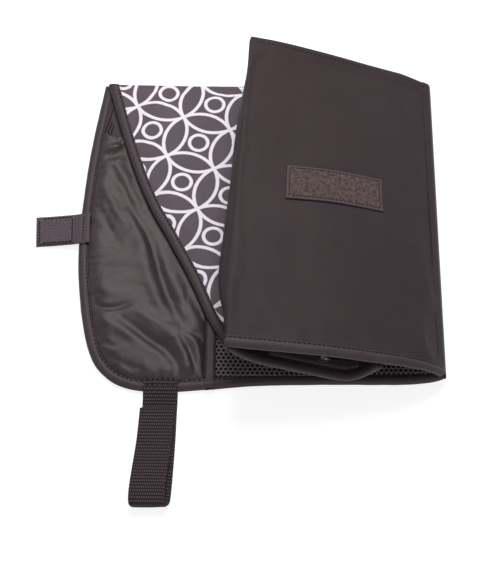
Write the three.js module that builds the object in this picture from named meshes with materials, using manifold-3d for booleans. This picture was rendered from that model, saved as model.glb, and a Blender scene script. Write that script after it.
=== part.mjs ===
// A nappy changing clutch that lies half open. A padded back panel carries a mesh pocket. A front
// cover, with a zipped pocket panel slung under it, is folded over the back panel at the right. A
// pocket flap with a closing tab and a wrist strap is folded out to the left, and the corner of the
// changing pad lies across the back panel and the flap.
// Millimetres, +Z up. The origin is the middle of the back panel's underside, and +Y is the far end.
import * as THREE from "three";
import { mergeVertices } from "three/addons/utils/BufferGeometryUtils.js";
import Module from "manifold-3d";

const wasm = await Module();
wasm.setup();

// Closed clutch
const clutchWidth = 204;
const clutchLength = 316;

// Cloth, padding and edge tape of every padded panel
const clothThickness = 0.8;
const paddingThickness = 2.4;
const layerGap = 0.3;
const bindingWidth = 9;
const bindingWall = 1;
const cutOverrun = 5;

// Back panel
const foldGap = 3;
const spineGap = 1;
const frontCornerReach = 5;

// Mesh pocket on the back panel
const meshThickness = 1;
const meshPocketDepth = 210;
const meshElasticWidth = 8;
const meshSideMargin = 10;
const dividerWidth = 9.4;

// Flap: the places on its edge, as shares of its reach and of half the clutch's length
const flapReach = 120.5;
const flapEdgeSteps = 34;
const flapEdgeShares = [
  [0.875, 0.995], [0.963, 0.46], [1, -0.12], [0.957, -0.52], [0.87, -0.82],
  [0.745, -0.965], [0.56, -1.036], [0.3, -1.05], [0.025, -1.034],
];

// Nylon pocket on the flap
const pocketMouthInset = 62;
const pocketMouthSlopeShare = 0.42;
const pocketFrontMargin = 12;
const pocketPuff = 3.1;
const pocketPuffRun = 24;
const pocketPadMargin = 4;
const pocketFoldHeight = 0.8;
const pocketFoldPitch = 34;
const pocketFoldLeanShare = 0.55;
const pocketHemWidth = 9;
const pocketStepsAlong = 20;
const pocketStepsAcross = 16;

// Changing pad: its bound left edge lies in a slack bow, as shares of the way from the front
// corner to the back corner
const padBackInset = 2.5;
const padFrontInset = 36;
const padCornerReach = 102;
const padFrontReach = 12;
const padEdgeSteps = 12;
const padEdgeShares = [
  [0, 0], [0.123, 0.083], [0.272, 0.227], [0.456, 0.378], [0.643, 0.531], [0.817, 0.73], [1, 1],
];
const padRightReach = 92;
const padFoldGap = 5.2;

// Cover: its skin's outline at the front and at the back, as shares of its span and rise there.
// Between them its heights follow a power of the share of the length, and keep to the front's form
const hingeHeight = 6.5;
const coverFrontShortfall = 16;
const coverRiseFront = 68.5;
const coverFrontShares = [
  [0.008, 0.05], [0.07, 0.255], [0.18, 0.44], [0.31, 0.585], [0.531, 0.762], [0.829, 0.918], [1, 1],
];
const coverBackShortfall = 33.5;
const coverRiseBack = 69.7;
const coverBackShares = [
  [0.008, 0.04], [0.1085, 0.156], [0.314, 0.362], [0.583, 0.648], [0.846, 0.898], [1, 1],
];
const coverHeightPower = 2.5;
const coverSteps = 12;
const lengthSteps = 8;
const coverPaddingStart = 1;

// Soft fold at the cover's left edge: how deep it drops, and how far it swells out
const foldDropEnds = 9;
const foldDropMiddle = 34;
const foldSwell = 13.5;
const foldSwellShares = [
  [0, 0.16], [0.05, 0.22], [0.11, 0.45], [0.17, 0.8], [0.24, 0.97], [0.3, 0.97], [0.47, 0.8], [0.64, 0.63],
  [0.82, 0.36], [0.9, 0.14], [1, 0.14],
];
const foldSteps = 8;
const seamGapShare = 0.05;

// Pocket panel slung under the cover, as shares of its span and of its drop below the fold
const panelSpineInset = 52;
const panelLowestHeight = 8.4;
const panelPaddingThickness = 1.6;
const panelStartControlShare = [0.075, 0.33];
const panelStraightStartShare = [0.2388, 0.502];
const panelStraightEndShare = [0.664, 0.94];
const panelBellyControlShares = [[0.73, 1.01], [0.81, 1.045]];
const panelBellyEndShare = [0.92, 0.66];
const panelEndShare = [1.0, 0.4];
const panelBendSteps = 4;
const panelStraightSteps = 6;
const panelBellySteps = 8;

// Zip across the pocket panel, near its front edge
const zipInset = 17;
const zipTapeWidth = 16;
const zipTapeThickness = 0.6;
const zipCoilWidth = 1.5;
const zipCoilHeight = 1.2;
const zipCoilGap = 0.3;
const zipStopLength = 2.4;
const zipRestGap = 12;
const sliderLength = 8;
const sliderWidth = 6.4;
const sliderWall = 0.9;
const sliderClearance = 0.3;
const sliderBridgeHeight = 2.4;
const sliderBridgeWidth = 1.4;
const sliderBridgeLength = 4.4;
const pullLength = 12;
const pullWidth = 4.8;
const pullThickness = 0.8;
const pullSlotReach = 3.1;

// Hook-and-loop patch on the cover
const loopPatchThickness = 1;
const loopPatchWidth = 34.5;
const loopPatchShift = 12.7;
const loopPatchStartShare = 0.31;
const loopPatchEndShare = 0.785;
const loopPatchSteps = 6;

// Spine cloth between the back panel and the cover
const spineReach = 2.6;
const spineSteps = 6;

// Closing tab
const tabLength = 40;
const tabWidth = 31.5;
const tabThickness = 1;
const tabShift = -4.8;
const tabLean = 0.6;
const tabAnchorLength = 8;
const tabHookLength = 34;
const tabHookMargin = 1.5;
const hookThickness = 1;

// Wrist strap
const webbingWidth = 30;
const webbingThickness = 1.4;
const strapFoldReach = 42;
const strapAnchorLength = 11;
const strapDropLength = 15;
const strapLength = 102;
const strapDrift = 3.5;
const loopTwist = 4;
const loopHeight = 7.7;
const strapEndGap = 16.5;
const strapEndShift = 1.2;
const closureLength = 32;
const closureThickness = 0.8;
const closureMargin = 2;
const loopBendSteps = 8;
const strapDropSteps = 6;
const strapRunSteps = 3;
const strapRiseSteps = 8;

// Heights and places that follow from the sizes above
const halfWidth = clutchWidth / 2;
const halfLength = clutchLength / 2;
const coreBottom = clothThickness + layerGap;
const liningBottom = coreBottom + paddingThickness + layerGap;
const panelThickness = liningBottom + clothThickness;
const pocketBottom = panelThickness + layerGap;
const padBottom = pocketBottom + meshThickness + layerGap;
const foldX = -halfWidth;
const spineX = halfWidth;
const coverSpanFront = clutchWidth - coverFrontShortfall;
const coverSpanBack = clutchWidth - coverBackShortfall;
const padBackY = halfLength - padBackInset;
const padFrontY = padFrontInset - halfLength;
const padCornerX = foldX - padCornerReach;
const padFrontX = foldX + padFrontReach;
const padRightX = foldX + padRightReach;
const pocketMouthY = halfLength - pocketMouthInset;
const panelRightX = spineX - panelSpineInset;
const zipCentreY = zipInset - halfLength;
const strapX = foldX - strapFoldReach;

const looks = {
  shell: { color: 0x4c4346, roughness: 0.62, metalness: 0 },
  padding: { color: 0x8d8a86, roughness: 0.95, metalness: 0 },
  lining: { color: 0x43393c, roughness: 0.7, metalness: 0 },
  binding: { color: 0x443b3e, roughness: 0.75, metalness: 0 },
  nylon: { color: 0x53494c, roughness: 0.42, metalness: 0 },
  mesh: { color: 0x302a2c, roughness: 0.85, metalness: 0 },
  print: { color: 0x675c63, roughness: 0.8, metalness: 0 },
  webbing: { color: 0x382f33, roughness: 0.82, metalness: 0 },
  loopTape: { color: 0x574a4a, roughness: 0.95, metalness: 0 },
  hookTape: { color: 0x5a5058, roughness: 0.8, metalness: 0 },
  zipCoil: { color: 0x2c2628, roughness: 0.5, metalness: 0 },
  zipMetal: { color: 0xb9b6b8, roughness: 0.3, metalness: 0.9 },
};

const clutch = new THREE.Group();

function addPiece(name, geometry, look, parent = clutch) {
  const mesh = new THREE.Mesh(geometry, new THREE.MeshStandardMaterial(look));
  mesh.name = name;
  parent.add(mesh);
  return mesh;
}

// A closed geometry as a solid that can be cut
function solidOf(geometry) {
  const bare = geometry.clone();
  bare.deleteAttribute("normal");
  bare.deleteAttribute("uv");
  const merged = mergeVertices(bare);
  const vertProperties = new Float32Array(merged.getAttribute("position").array);
  const triVerts = new Uint32Array(merged.index.array);
  return new wasm.Manifold(new wasm.Mesh({ numProp: 3, vertProperties, triVerts }));
}

function geometryOf(solid) {
  const mesh = solid.getMesh();
  return geometryFrom(mesh.vertProperties, mesh.triVerts);
}

function geometryFrom(places, triangles) {
  const geometry = new THREE.BufferGeometry();
  geometry.setAttribute("position", new THREE.BufferAttribute(new Float32Array(places), 3));
  geometry.setIndex(Array.from(triangles));
  geometry.computeVertexNormals();
  return geometry;
}

function cut(geometry, ...cutters) {
  return geometryOf(cutters.reduce((rest, cutter) => rest.subtract(solidOf(cutter)), solidOf(geometry)));
}

// A flat plan, its corners counter-clockwise, raised from bottom by height
function extrudePlan(plan, bottom, height) {
  const geometry = new THREE.ExtrudeGeometry(new THREE.Shape(plan), { depth: height, bevelEnabled: false });
  return geometry.translate(0, 0, bottom);
}

function blockBetween(low, high) {
  const size = high.clone().sub(low);
  const middle = low.clone().add(high).multiplyScalar(0.5);
  return new THREE.BoxGeometry(size.x, size.y, size.z).translate(middle.x, middle.y, middle.z);
}

function corner(x, y) {
  return new THREE.Vector2(x, y);
}

// The direction into the plan, square to the side that starts at a corner
function sideNormal(plan, index) {
  const side = plan[(index + 1) % plan.length].clone().sub(plan[index]).normalize();
  return corner(-side.y, side.x);
}

// The plan with each side moved inwards by its own distance
function insetPlan(plan, distances) {
  const straightShare = 1e-4;
  return plan.map((point, index) => {
    const last = (index + plan.length - 1) % plan.length;
    const before = sideNormal(plan, last);
    const after = sideNormal(plan, index);
    const turn = before.cross(after);
    if (Math.abs(turn) < straightShare) return point.clone().addScaledVector(after, distances[index]);
    const x = (distances[last] * after.y - distances[index] * before.y) / turn;
    const y = (distances[index] * before.x - distances[last] * after.x) / turn;
    return corner(point.x + x, point.y + y);
  });
}

// Outer cloth, padding and inner cloth of a flat panel, drawn back from its bound sides
function layeredPanel(plan, bound, bottom) {
  const clothPlan = insetPlan(plan, bound.map((isBound) => (isBound ? bindingWidth + layerGap : 0)));
  const corePlan = insetPlan(plan, bound.map((isBound) => (isBound ? bindingWall + layerGap : 0)));
  return {
    under: extrudePlan(clothPlan, bottom, clothThickness),
    core: extrudePlan(corePlan, bottom + coreBottom, paddingThickness),
    over: extrudePlan(clothPlan, bottom + liningBottom, clothThickness),
  };
}

// Tape folded round the bound sides of a flat panel, open inside for the padding
function edgeBinding(plan, bound, bottom) {
  const middle = insetPlan(plan, bound.map((isBound) => (isBound ? bindingWidth : -cutOverrun)));
  const slot = insetPlan(plan, bound.map((isBound) => (isBound ? bindingWall : -cutOverrun)));
  return cut(
    extrudePlan(plan, bottom, panelThickness),
    extrudePlan(middle, bottom - cutOverrun, panelThickness + 2 * cutOverrun),
    extrudePlan(slot, bottom + clothThickness, panelThickness - 2 * clothThickness),
  );
}

// A closed slab between two grids of points: place(row, column, side) gives a point, and rows,
// columns and sides turn right-handed
function gridSlab(rows, columns, place) {
  const places = [];
  const triangles = [];
  const at = (row, column, side) => (row * (columns + 1) + column) * 2 + side;
  const face = (a, b, c, d) => triangles.push(a, b, c, a, c, d);
  for (let row = 0; row <= rows; row++) {
    for (let column = 0; column <= columns; column++) {
      places.push(...place(row, column, 0).toArray(), ...place(row, column, 1).toArray());
    }
  }
  for (let row = 0; row < rows; row++) {
    for (let column = 0; column < columns; column++) {
      face(at(row, column, 1), at(row + 1, column, 1), at(row + 1, column + 1, 1), at(row, column + 1, 1));
      face(at(row, column, 0), at(row, column + 1, 0), at(row + 1, column + 1, 0), at(row + 1, column, 0));
    }
    face(at(row, 0, 0), at(row + 1, 0, 0), at(row + 1, 0, 1), at(row, 0, 1));
    face(at(row, columns, 1), at(row + 1, columns, 1), at(row + 1, columns, 0), at(row, columns, 0));
  }
  for (let column = 0; column < columns; column++) {
    face(at(0, column + 1, 1), at(0, column + 1, 0), at(0, column, 0), at(0, column, 1));
    face(at(rows, column, 0), at(rows, column + 1, 0), at(rows, column + 1, 1), at(rows, column, 1));
  }
  return geometryFrom(places, triangles);
}

// A closed bar whose section, counter-clockwise points of (y, depth), is carried along a surface
function sectionBar(surface, steps, section) {
  const places = [];
  const triangles = [];
  const count = section.length;
  for (const step of steps) {
    for (const [y, depth] of section) places.push(...surface(step, y, depth).toArray());
  }
  for (let ring = 0; ring + 1 < steps.length; ring++) {
    for (let side = 0; side < count; side++) {
      const near = ring * count;
      const far = near + count;
      const next = (side + 1) % count;
      triangles.push(near + side, near + next, far + next, near + side, far + next, far + side);
    }
  }
  const outline = section.map(([y, depth]) => corner(y, depth));
  const lastRing = (steps.length - 1) * count;
  for (const [a, b, c] of THREE.ShapeUtils.triangulateShape(outline, [])) {
    triangles.push(a, c, b, lastRing + a, lastRing + b, lastRing + c);
  }
  return geometryFrom(places, triangles);
}

// Whole steps, or an even run of part steps, from first to last
function stepsBetween(first, last, count = last - first) {
  return Array.from({ length: count + 1 }, (_, index) => first + ((last - first) * index) / count);
}

// A surface that runs across the object: outlineAt(y) gives its outline, points of (x, z), and a
// depth is measured square to it, to the left of the way it runs
function surfaceAlong(outlineAt) {
  return (step, y, depth) => {
    const outline = outlineAt(y);
    const first = Math.min(Math.floor(step), outline.length - 2);
    const place = outline[first].clone().lerp(outline[first + 1], step - first);
    const normalAt = (index) => {
      const before = outline[Math.max(index - 1, 0)];
      const after = outline[Math.min(index + 1, outline.length - 1)];
      const way = after.clone().sub(before).normalize();
      return corner(-way.y, way.x);
    };
    const normal = normalAt(first).lerp(normalAt(first + 1), step - first).normalize();
    return new THREE.Vector3(place.x + normal.x * depth, y, place.y + normal.y * depth);
  };
}

// A sheet on a surface, from one step to another and between two depths
function sheetOn(surface, steps, frontY, backY, nearDepth, farDepth, columns = lengthSteps) {
  return gridSlab(steps.length - 1, columns, (row, column, side) => {
    const y = frontY + ((backY - frontY) * column) / columns;
    return surface(steps[row], y, side ? farDepth : nearDepth);
  });
}

// Tape folded round a padded sheet's front edge, from one step to another
function frontChannel(surface, steps, frontY, thickness) {
  const backY = frontY + bindingWidth;
  const wallY = frontY + bindingWall;
  return sectionBar(surface, steps, [
    [frontY, 0], [backY, 0], [backY, clothThickness], [wallY, clothThickness],
    [wallY, thickness - clothThickness], [backY, thickness - clothThickness], [backY, thickness],
    [frontY, thickness],
  ]);
}

// Back panel: outer cloth, stiffened padding, lining and the tape on its front and back edges
const backPlan = [
  corner(foldX + foldGap, -halfLength - frontCornerReach),
  corner(spineX - spineGap, -halfLength),
  corner(spineX - spineGap, halfLength),
  corner(foldX + foldGap, halfLength),
];
const backBound = [true, false, true, false];

function buildBackPanel() {
  const layers = layeredPanel(backPlan, backBound, 0);
  addPiece("back_panel_outer", layers.under, looks.shell);
  addPiece("back_panel_board", layers.core, looks.padding);
  addPiece("back_panel_lining", layers.over, looks.lining);
  const reach = clutchWidth + cutOverrun;
  const frontHalf = blockBetween(new THREE.Vector3(-reach, -clutchLength, -cutOverrun),
    new THREE.Vector3(reach, 0, panelThickness + cutOverrun));
  const backHalf = frontHalf.clone().translate(0, clutchLength, 0);
  const ring = edgeBinding(backPlan, backBound, 0);
  addPiece("back_panel_front_binding", cut(ring, backHalf), looks.binding);
  addPiece("back_panel_back_binding", cut(ring, frontHalf), looks.binding);
}

// Mesh pocket on the back panel, with its elastic mouth, and the divider tape over the flap's fold
function buildMeshPocket() {
  const meshPlan = insetPlan(backPlan, [
    bindingWidth + layerGap, meshSideMargin, 0, dividerWidth / 2 - foldGap + layerGap,
  ]);
  const mouthY = meshPlan[0].y + meshPocketDepth;
  meshPlan[2].y = mouthY;
  meshPlan[3].y = mouthY;
  addPiece("mesh_pocket", extrudePlan(meshPlan, pocketBottom, meshThickness), looks.mesh);
  const elasticPlan = [
    corner(meshPlan[3].x, mouthY + layerGap),
    corner(meshPlan[2].x, mouthY + layerGap),
    corner(meshPlan[2].x, mouthY + layerGap + meshElasticWidth),
    corner(meshPlan[3].x, mouthY + layerGap + meshElasticWidth),
  ];
  addPiece("mesh_pocket_elastic", extrudePlan(elasticPlan, pocketBottom, meshThickness), looks.binding);
  const halfTape = dividerWidth / 2;
  const dividerPlan = [
    corner(foldX - halfTape, -halfLength - frontCornerReach),
    corner(foldX + halfTape, -halfLength - frontCornerReach),
    corner(foldX + halfTape, halfLength - bindingWidth),
    corner(foldX - halfTape, halfLength - bindingWidth),
  ];
  addPiece("divider_binding", extrudePlan(dividerPlan, pocketBottom, clothThickness), looks.binding);
  const hingeClothPlan = [
    corner(foldX - foldGap + layerGap, -halfLength - frontCornerReach),
    corner(foldX + foldGap - layerGap, -halfLength - frontCornerReach),
    corner(foldX + foldGap - layerGap, halfLength),
    corner(foldX - foldGap + layerGap, halfLength),
  ];
  addPiece("flap_fold_cloth", extrudePlan(hingeClothPlan, 0, panelThickness), looks.shell);
}

// Flap: a rounded panel of cloth and padding, bound all round but for the fold
const flapEdge = new THREE.SplineCurve(
  flapEdgeShares.map(([reachShare, lengthShare]) =>
    corner(foldX - flapReach * reachShare, halfLength * lengthShare)),
);
const flapPlan = [
  corner(foldX - foldGap, flapEdge.points[flapEdge.points.length - 1].y),
  corner(foldX - foldGap, halfLength),
  ...flapEdge.getPoints(flapEdgeSteps).slice(0, -1),
];
const flapBound = flapPlan.map((_, index) => index > 0);

function buildFlap() {
  const layers = layeredPanel(flapPlan, flapBound, 0);
  addPiece("flap_outer", layers.under, looks.shell);
  addPiece("flap_padding", layers.core, looks.padding);
  addPiece("flap_lining", layers.over, looks.nylon);
  addPiece("flap_binding", edgeBinding(flapPlan, flapBound, 0), looks.binding);
}

// The lowest y of a plan at one x
function lowestAt(plan, x) {
  return leftmostAt(plan.map((point) => corner(point.y, point.x)), x);
}

// The lowest x of a plan at one y
function leftmostAt(plan, y) {
  const crossings = plan.flatMap((start, index) => {
    const end = plan[(index + 1) % plan.length];
    if ((start.y - y) * (end.y - y) > 0 || start.y === end.y) return [];
    return [start.x + ((end.x - start.x) * (y - start.y)) / (end.y - start.y)];
  });
  return Math.min(...crossings);
}

// The pad's slanted left edge, from the front corner to the back corner
const padEdge = new THREE.SplineCurve(padEdgeShares.map(([reachShare, lengthShare]) => corner(
  padFrontX + (padCornerX - padFrontX) * reachShare,
  padFrontY + (padBackY - padFrontY) * lengthShare,
))).getSpacedPoints(padEdgeSteps);

// The edge's other coordinate where the given one, "x" or "y", has this value
function padEdgeAt(given, value) {
  const other = given === "x" ? "y" : "x";
  const passed = padEdge.findIndex((point, index) =>
    index > 0 && (point[given] - value) * (padEdge[padEdge.length - 1][given] - value) >= 0);
  const next = Math.max(passed, 1);
  const before = padEdge[next - 1];
  const share = (value - before[given]) / (padEdge[next][given] - before[given]);
  return before[other] + (padEdge[next][other] - before[other]) * share;
}

// Nylon pocket on the flap: a skin with soft folds, swollen left of the pad and flat under it
const pocketPlan = insetPlan(flapPlan, flapBound.map((isBound) => (isBound ? bindingWidth + layerGap : 0)));
const pocketFrontY = Math.min(...pocketPlan.map((point) => point.y)) + pocketFrontMargin;
const pocketRightX = foldX - dividerWidth / 2 - layerGap;

function pocketSkinAt(rowShare, columnShare, lift) {
  const y = pocketFrontY + (pocketMouthY - pocketFrontY) * rowShare;
  const leftX = leftmostAt(pocketPlan, y);
  const x = leftX + (pocketRightX - leftX) * columnShare;
  const mouthShift = Math.max(0, x - leftX) * pocketMouthSlopeShare * rowShare;
  const rise = (distance) => Math.sin((Math.min(Math.max(distance / pocketPuffRun, 0), 1) * Math.PI) / 2);
  const toPad = padEdgeAt("y", y - mouthShift) - pocketPadMargin - x;
  const toRight = Math.min(toPad, pocketRightX - x);
  const swell = rise(x - leftX) * rise(toRight) * rise(y - pocketFrontY);
  const fold = Math.sin((2 * Math.PI * (x * pocketFoldLeanShare + y)) / pocketFoldPitch);
  const height = pocketBottom + swell * (pocketPuff + pocketFoldHeight * fold) + lift;
  return new THREE.Vector3(x, y - mouthShift, height);
}

function buildNylonPocket() {
  const pocket = gridSlab(pocketStepsAcross, pocketStepsAlong, (row, column, side) =>
    pocketSkinAt(column / pocketStepsAlong, row / pocketStepsAcross, side ? clothThickness : 0));
  addPiece("nylon_pocket", pocket, looks.nylon);
  const hemShare = pocketHemWidth / (pocketMouthY - pocketFrontY);
  const hem = gridSlab(pocketStepsAcross, 1, (row, column, side) =>
    pocketSkinAt(1 - hemShare * (1 - column), (row / pocketStepsAcross) * hemEndShare(),
      clothThickness + layerGap + (side ? clothThickness : 0)));
  addPiece("nylon_pocket_hem", hem, looks.nylon);
}

// How far across the pocket its hem shows before the pad covers it
function hemEndShare() {
  const leftX = leftmostAt(pocketPlan, pocketMouthY);
  return (padEdgeAt("y", pocketMouthY) - pocketPadMargin - leftX) / (pocketRightX - leftX);
}

// Changing pad: one part lies on the back panel, the corner lies on the flap, a bridge joins them
const padMainX = foldX + padFoldGap;
const padWingX = foldX - padFoldGap;
const padMainEdge = padEdge.filter((point, index) =>
  index === 0 || point.x > padMainX + bindingWidth).reverse();
const padWingEdge = padEdge.filter((point) => point.x < padWingX - bindingWidth).reverse();
const padMainPlan = [
  corner(padMainX, padEdgeAt("x", padMainX)),
  ...padMainEdge,
  corner(padRightX, padFrontY),
  corner(padRightX, padBackY),
  corner(padMainX, padBackY),
];
const padMainBound = [...padMainEdge.map(() => true), true, true, false, false];
const padWingPlan = [
  corner(padWingX, padEdgeAt("x", padWingX)),
  corner(padWingX, padBackY),
  ...padWingEdge,
];
const padWingBound = [false, false, ...padWingEdge.map(() => true)];

function buildPadPart(suffix, plan, bound, backSide) {
  const layers = layeredPanel(plan, bound, padBottom);
  const wallDepth = clothThickness + layerGap;
  const wrap = blockBetween(
    new THREE.Vector3(padCornerX - cutOverrun, padBackY - wallDepth, padBottom - cutOverrun),
    new THREE.Vector3(padRightX + cutOverrun, padBackY + cutOverrun, padBottom + liningBottom - layerGap / 2),
  );
  const clothPlan = insetPlan(plan, bound.map((isBound) => (isBound ? bindingWidth + layerGap : 0)));
  const start = clothPlan[backSide];
  const end = clothPlan[(backSide + 1) % plan.length];
  const backWall = extrudePlan([
    corner(end.x, padBackY - clothThickness), corner(start.x, padBackY - clothThickness),
    corner(start.x, padBackY), corner(end.x, padBackY),
  ], padBottom, panelThickness);
  const print = geometryOf(solidOf(layers.over).add(solidOf(backWall)));
  addPiece(`pad_print_${suffix}`, print, looks.print);
  addPiece(`pad_foam_${suffix}`, cut(layers.core, wrap), looks.padding);
  addPiece(`pad_backing_${suffix}`, cut(layers.under, wrap), looks.lining);
  addPiece(`pad_binding_${suffix}`, edgeBinding(plan, bound, padBottom), looks.binding);
}

function buildPad() {
  buildPadPart("main", padMainPlan, padMainBound, padMainPlan.length - 2);
  buildPadPart("corner", padWingPlan, padWingBound, 1);
  const bridgePlan = [
    corner(padWingX + layerGap, padEdgeAt("x", padWingX + layerGap)),
    corner(padMainX - layerGap, padEdgeAt("x", padMainX - layerGap)),
    corner(padMainX - layerGap, padBackY),
    corner(padWingX + layerGap, padBackY),
  ];
  addPiece("pad_fold_bridge", extrudePlan(bridgePlan, padBottom, panelThickness), looks.print);
}

// The skin that the cover, its left fold and the slung pocket panel share
function sharePoints(shares, origin, span, rise) {
  return shares.map(([across, up]) => corner(origin.x + span * across, origin.y + rise * up));
}

function coverOutline(shares, span, rise) {
  const points = sharePoints(shares, corner(spineX, hingeHeight), -span, rise);
  return new THREE.SplineCurve(points).getSpacedPoints(coverSteps);
}

function lengthShareOf(y) {
  return (y + halfLength) / clutchLength;
}

const swellCurve = new THREE.SplineCurve(foldSwellShares.map(([along, swell]) => corner(along, swell)));

function swellAt(lengthShare) {
  const along = Math.min(Math.max(lengthShare, 0), 1);
  const samples = swellCurve.getPoints(lengthSteps * foldSwellShares.length);
  const next = Math.max(1, samples.findIndex((sample) => sample.x >= along));
  const before = samples[next - 1];
  const mix = (along - before.x) / (samples[next].x - before.x);
  return foldSwell * (before.y + (samples[next].y - before.y) * mix);
}

function foldDropAt(lengthShare) {
  const along = Math.min(Math.max(lengthShare, 0), 1);
  return foldDropEnds + (foldDropMiddle - foldDropEnds) * Math.sin(Math.PI * along);
}

function panelOutline(start) {
  const span = panelRightX - start.x;
  const drop = panelLowestHeight - start.y;
  const place = ([across, down]) => corner(start.x + span * across, start.y + drop * down);
  const bend = new THREE.QuadraticBezierCurve(
    start, place(panelStartControlShare), place(panelStraightStartShare));
  const straight = new THREE.LineCurve(place(panelStraightStartShare), place(panelStraightEndShare));
  const belly = new THREE.CubicBezierCurve(
    place(panelStraightEndShare), ...panelBellyControlShares.map(place), place(panelBellyEndShare));
  return [
    ...bend.getPoints(panelBendSteps),
    ...straight.getPoints(panelStraightSteps).slice(1),
    ...belly.getPoints(panelBellySteps).slice(1),
    place(panelEndShare),
  ];
}

const frontOutline = coverOutline(coverFrontShares, coverSpanFront, coverRiseFront);
const backOutline = coverOutline(coverBackShares, coverSpanBack, coverRiseBack);

function skinOutlineAt(y) {
  const share = lengthShareOf(y);
  const heightShare = Math.max(share, 0) ** coverHeightPower;
  const cover = frontOutline.map((point, index) => corner(
    THREE.MathUtils.lerp(point.x, backOutline[index].x, share),
    THREE.MathUtils.lerp(point.y, backOutline[index].y, heightShare),
  ));
  const top = cover[coverSteps];
  const drop = foldDropAt(share);
  const fold = stepsBetween(0, Math.PI, foldSteps).slice(1).map((angle) =>
    corner(top.x - swellAt(share) * Math.sin(angle), top.y - (drop / 2) * (1 - Math.cos(angle))));
  return [...cover, ...fold, ...panelOutline(fold[foldSteps - 1]).slice(1)];
}

const skin = surfaceAlong(skinOutlineAt);
const foldEndStep = coverSteps + foldSteps;
const panelEndStep = foldEndStep + panelBendSteps + panelStraightSteps + panelBellySteps + 1;
const straightStartStep = foldEndStep + panelBendSteps;
const straightEndStep = straightStartStep + panelStraightSteps;

function buildCover() {
  const clothFrontY = -halfLength + bindingWidth + layerGap;
  const coreFrontY = -halfLength + bindingWall + layerGap;
  const outer = sheetOn(skin, stepsBetween(0, foldEndStep), clothFrontY, halfLength, 0, clothThickness);
  addPiece("cover_outer", outer, looks.shell);
  const paddedSteps = stepsBetween(coverPaddingStart, coverSteps);
  addPiece("cover_padding",
    sheetOn(skin, paddedSteps, coreFrontY, halfLength, coreBottom, coreBottom + paddingThickness),
    looks.padding);
  addPiece("cover_lining",
    sheetOn(skin, paddedSteps, clothFrontY, halfLength, liningBottom, panelThickness), looks.lining);
  addPiece("cover_front_binding",
    frontChannel(skin, paddedSteps, -halfLength, panelThickness), looks.binding);
  addPiece("fold_front_binding",
    sheetOn(skin, stepsBetween(coverSteps, foldEndStep), -halfLength, -halfLength + bindingWidth,
      0, clothThickness, 1), looks.binding);
  const patchSteps = stepsBetween(
    coverSteps * loopPatchStartShare, coverSteps * loopPatchEndShare, loopPatchSteps);
  const halfPatch = loopPatchWidth / 2;
  addPiece("cover_loop_patch",
    sheetOn(skin, patchSteps, loopPatchShift - halfPatch, loopPatchShift + halfPatch,
      -layerGap - loopPatchThickness, -layerGap, 2), looks.loopTape);
}

// Pocket panel slung from the cover's left fold to its lining
const slungThickness = 2 * (clothThickness + layerGap) + panelPaddingThickness;

function buildPocketPanel() {
  const above = sheetOn(skin, stepsBetween(0, coverSteps), -halfLength - cutOverrun, halfLength + cutOverrun,
    -coverRiseFront / 2, panelThickness + layerGap);
  const clothFrontY = -halfLength + bindingWidth + layerGap;
  const steps = [foldEndStep + seamGapShare, ...stepsBetween(foldEndStep + 1, panelEndStep)];
  const innerSteps = stepsBetween(foldEndStep + 1, panelEndStep);
  const paddingTop = clothThickness + layerGap + panelPaddingThickness;
  addPiece("pocket_panel_outer",
    cut(sheetOn(skin, steps, clothFrontY, halfLength, 0, clothThickness), above), looks.shell);
  addPiece("pocket_panel_padding",
    cut(sheetOn(skin, innerSteps, -halfLength + bindingWall + layerGap, halfLength,
      clothThickness + layerGap, paddingTop), above), looks.padding);
  addPiece("pocket_panel_lining",
    cut(sheetOn(skin, innerSteps, clothFrontY, halfLength, paddingTop + layerGap, slungThickness), above),
    looks.lining);
  addPiece("pocket_panel_binding",
    cut(frontChannel(skin, innerSteps, -halfLength, slungThickness), above), looks.binding);
}

// Zip on the pocket panel: tape, two coils, stops, and a slider with a pull on the straight stretch
const zipStartPoint = skin(straightStartStep, zipCentreY, slungThickness);
const zipStraightEnd = skin(straightEndStep, zipCentreY, slungThickness);
const zipWay = zipStraightEnd.clone().sub(zipStartPoint).normalize();

function buildZip() {
  const tapeDepth = slungThickness + layerGap;
  const coilDepth = tapeDepth + zipTapeThickness;
  const lastStep = straightEndStep + panelBellySteps - 2;
  const steps = stepsBetween(straightStartStep, lastStep);
  addPiece("zip_tape",
    sheetOn(skin, steps, zipCentreY - zipTapeWidth / 2, zipCentreY + zipTapeWidth / 2,
      tapeDepth, coilDepth, 1), looks.binding);
  const coilAt = (name, nearY) => addPiece(name,
    sheetOn(skin, steps, nearY, nearY + zipCoilWidth,
      coilDepth + layerGap, coilDepth + layerGap + zipCoilHeight, 1),
    looks.zipCoil);
  coilAt("zip_coil_front", zipCentreY - zipCoilGap / 2 - zipCoilWidth);
  coilAt("zip_coil_back", zipCentreY + zipCoilGap / 2);
  const stopHalf = zipCoilWidth + zipCoilGap;
  const stopTop = coilDepth + layerGap + zipCoilHeight;
  const stepAfterStart = skin(straightStartStep + 1, zipCentreY, slungThickness);
  const stopSteps = zipStopLength / zipStartPoint.distanceTo(stepAfterStart);
  const stopAt = (name, first) => addPiece(name,
    sheetOn(skin, [first, first + stopSteps], zipCentreY - stopHalf, zipCentreY + stopHalf,
      tapeDepth, stopTop, 1),
    looks.zipMetal);
  const gapSteps = stopSteps * (layerGap / zipStopLength);
  stopAt("zip_stop_left", straightStartStep - stopSteps - gapSteps);
  stopAt("zip_stop_right", lastStep + gapSteps);
}

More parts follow.
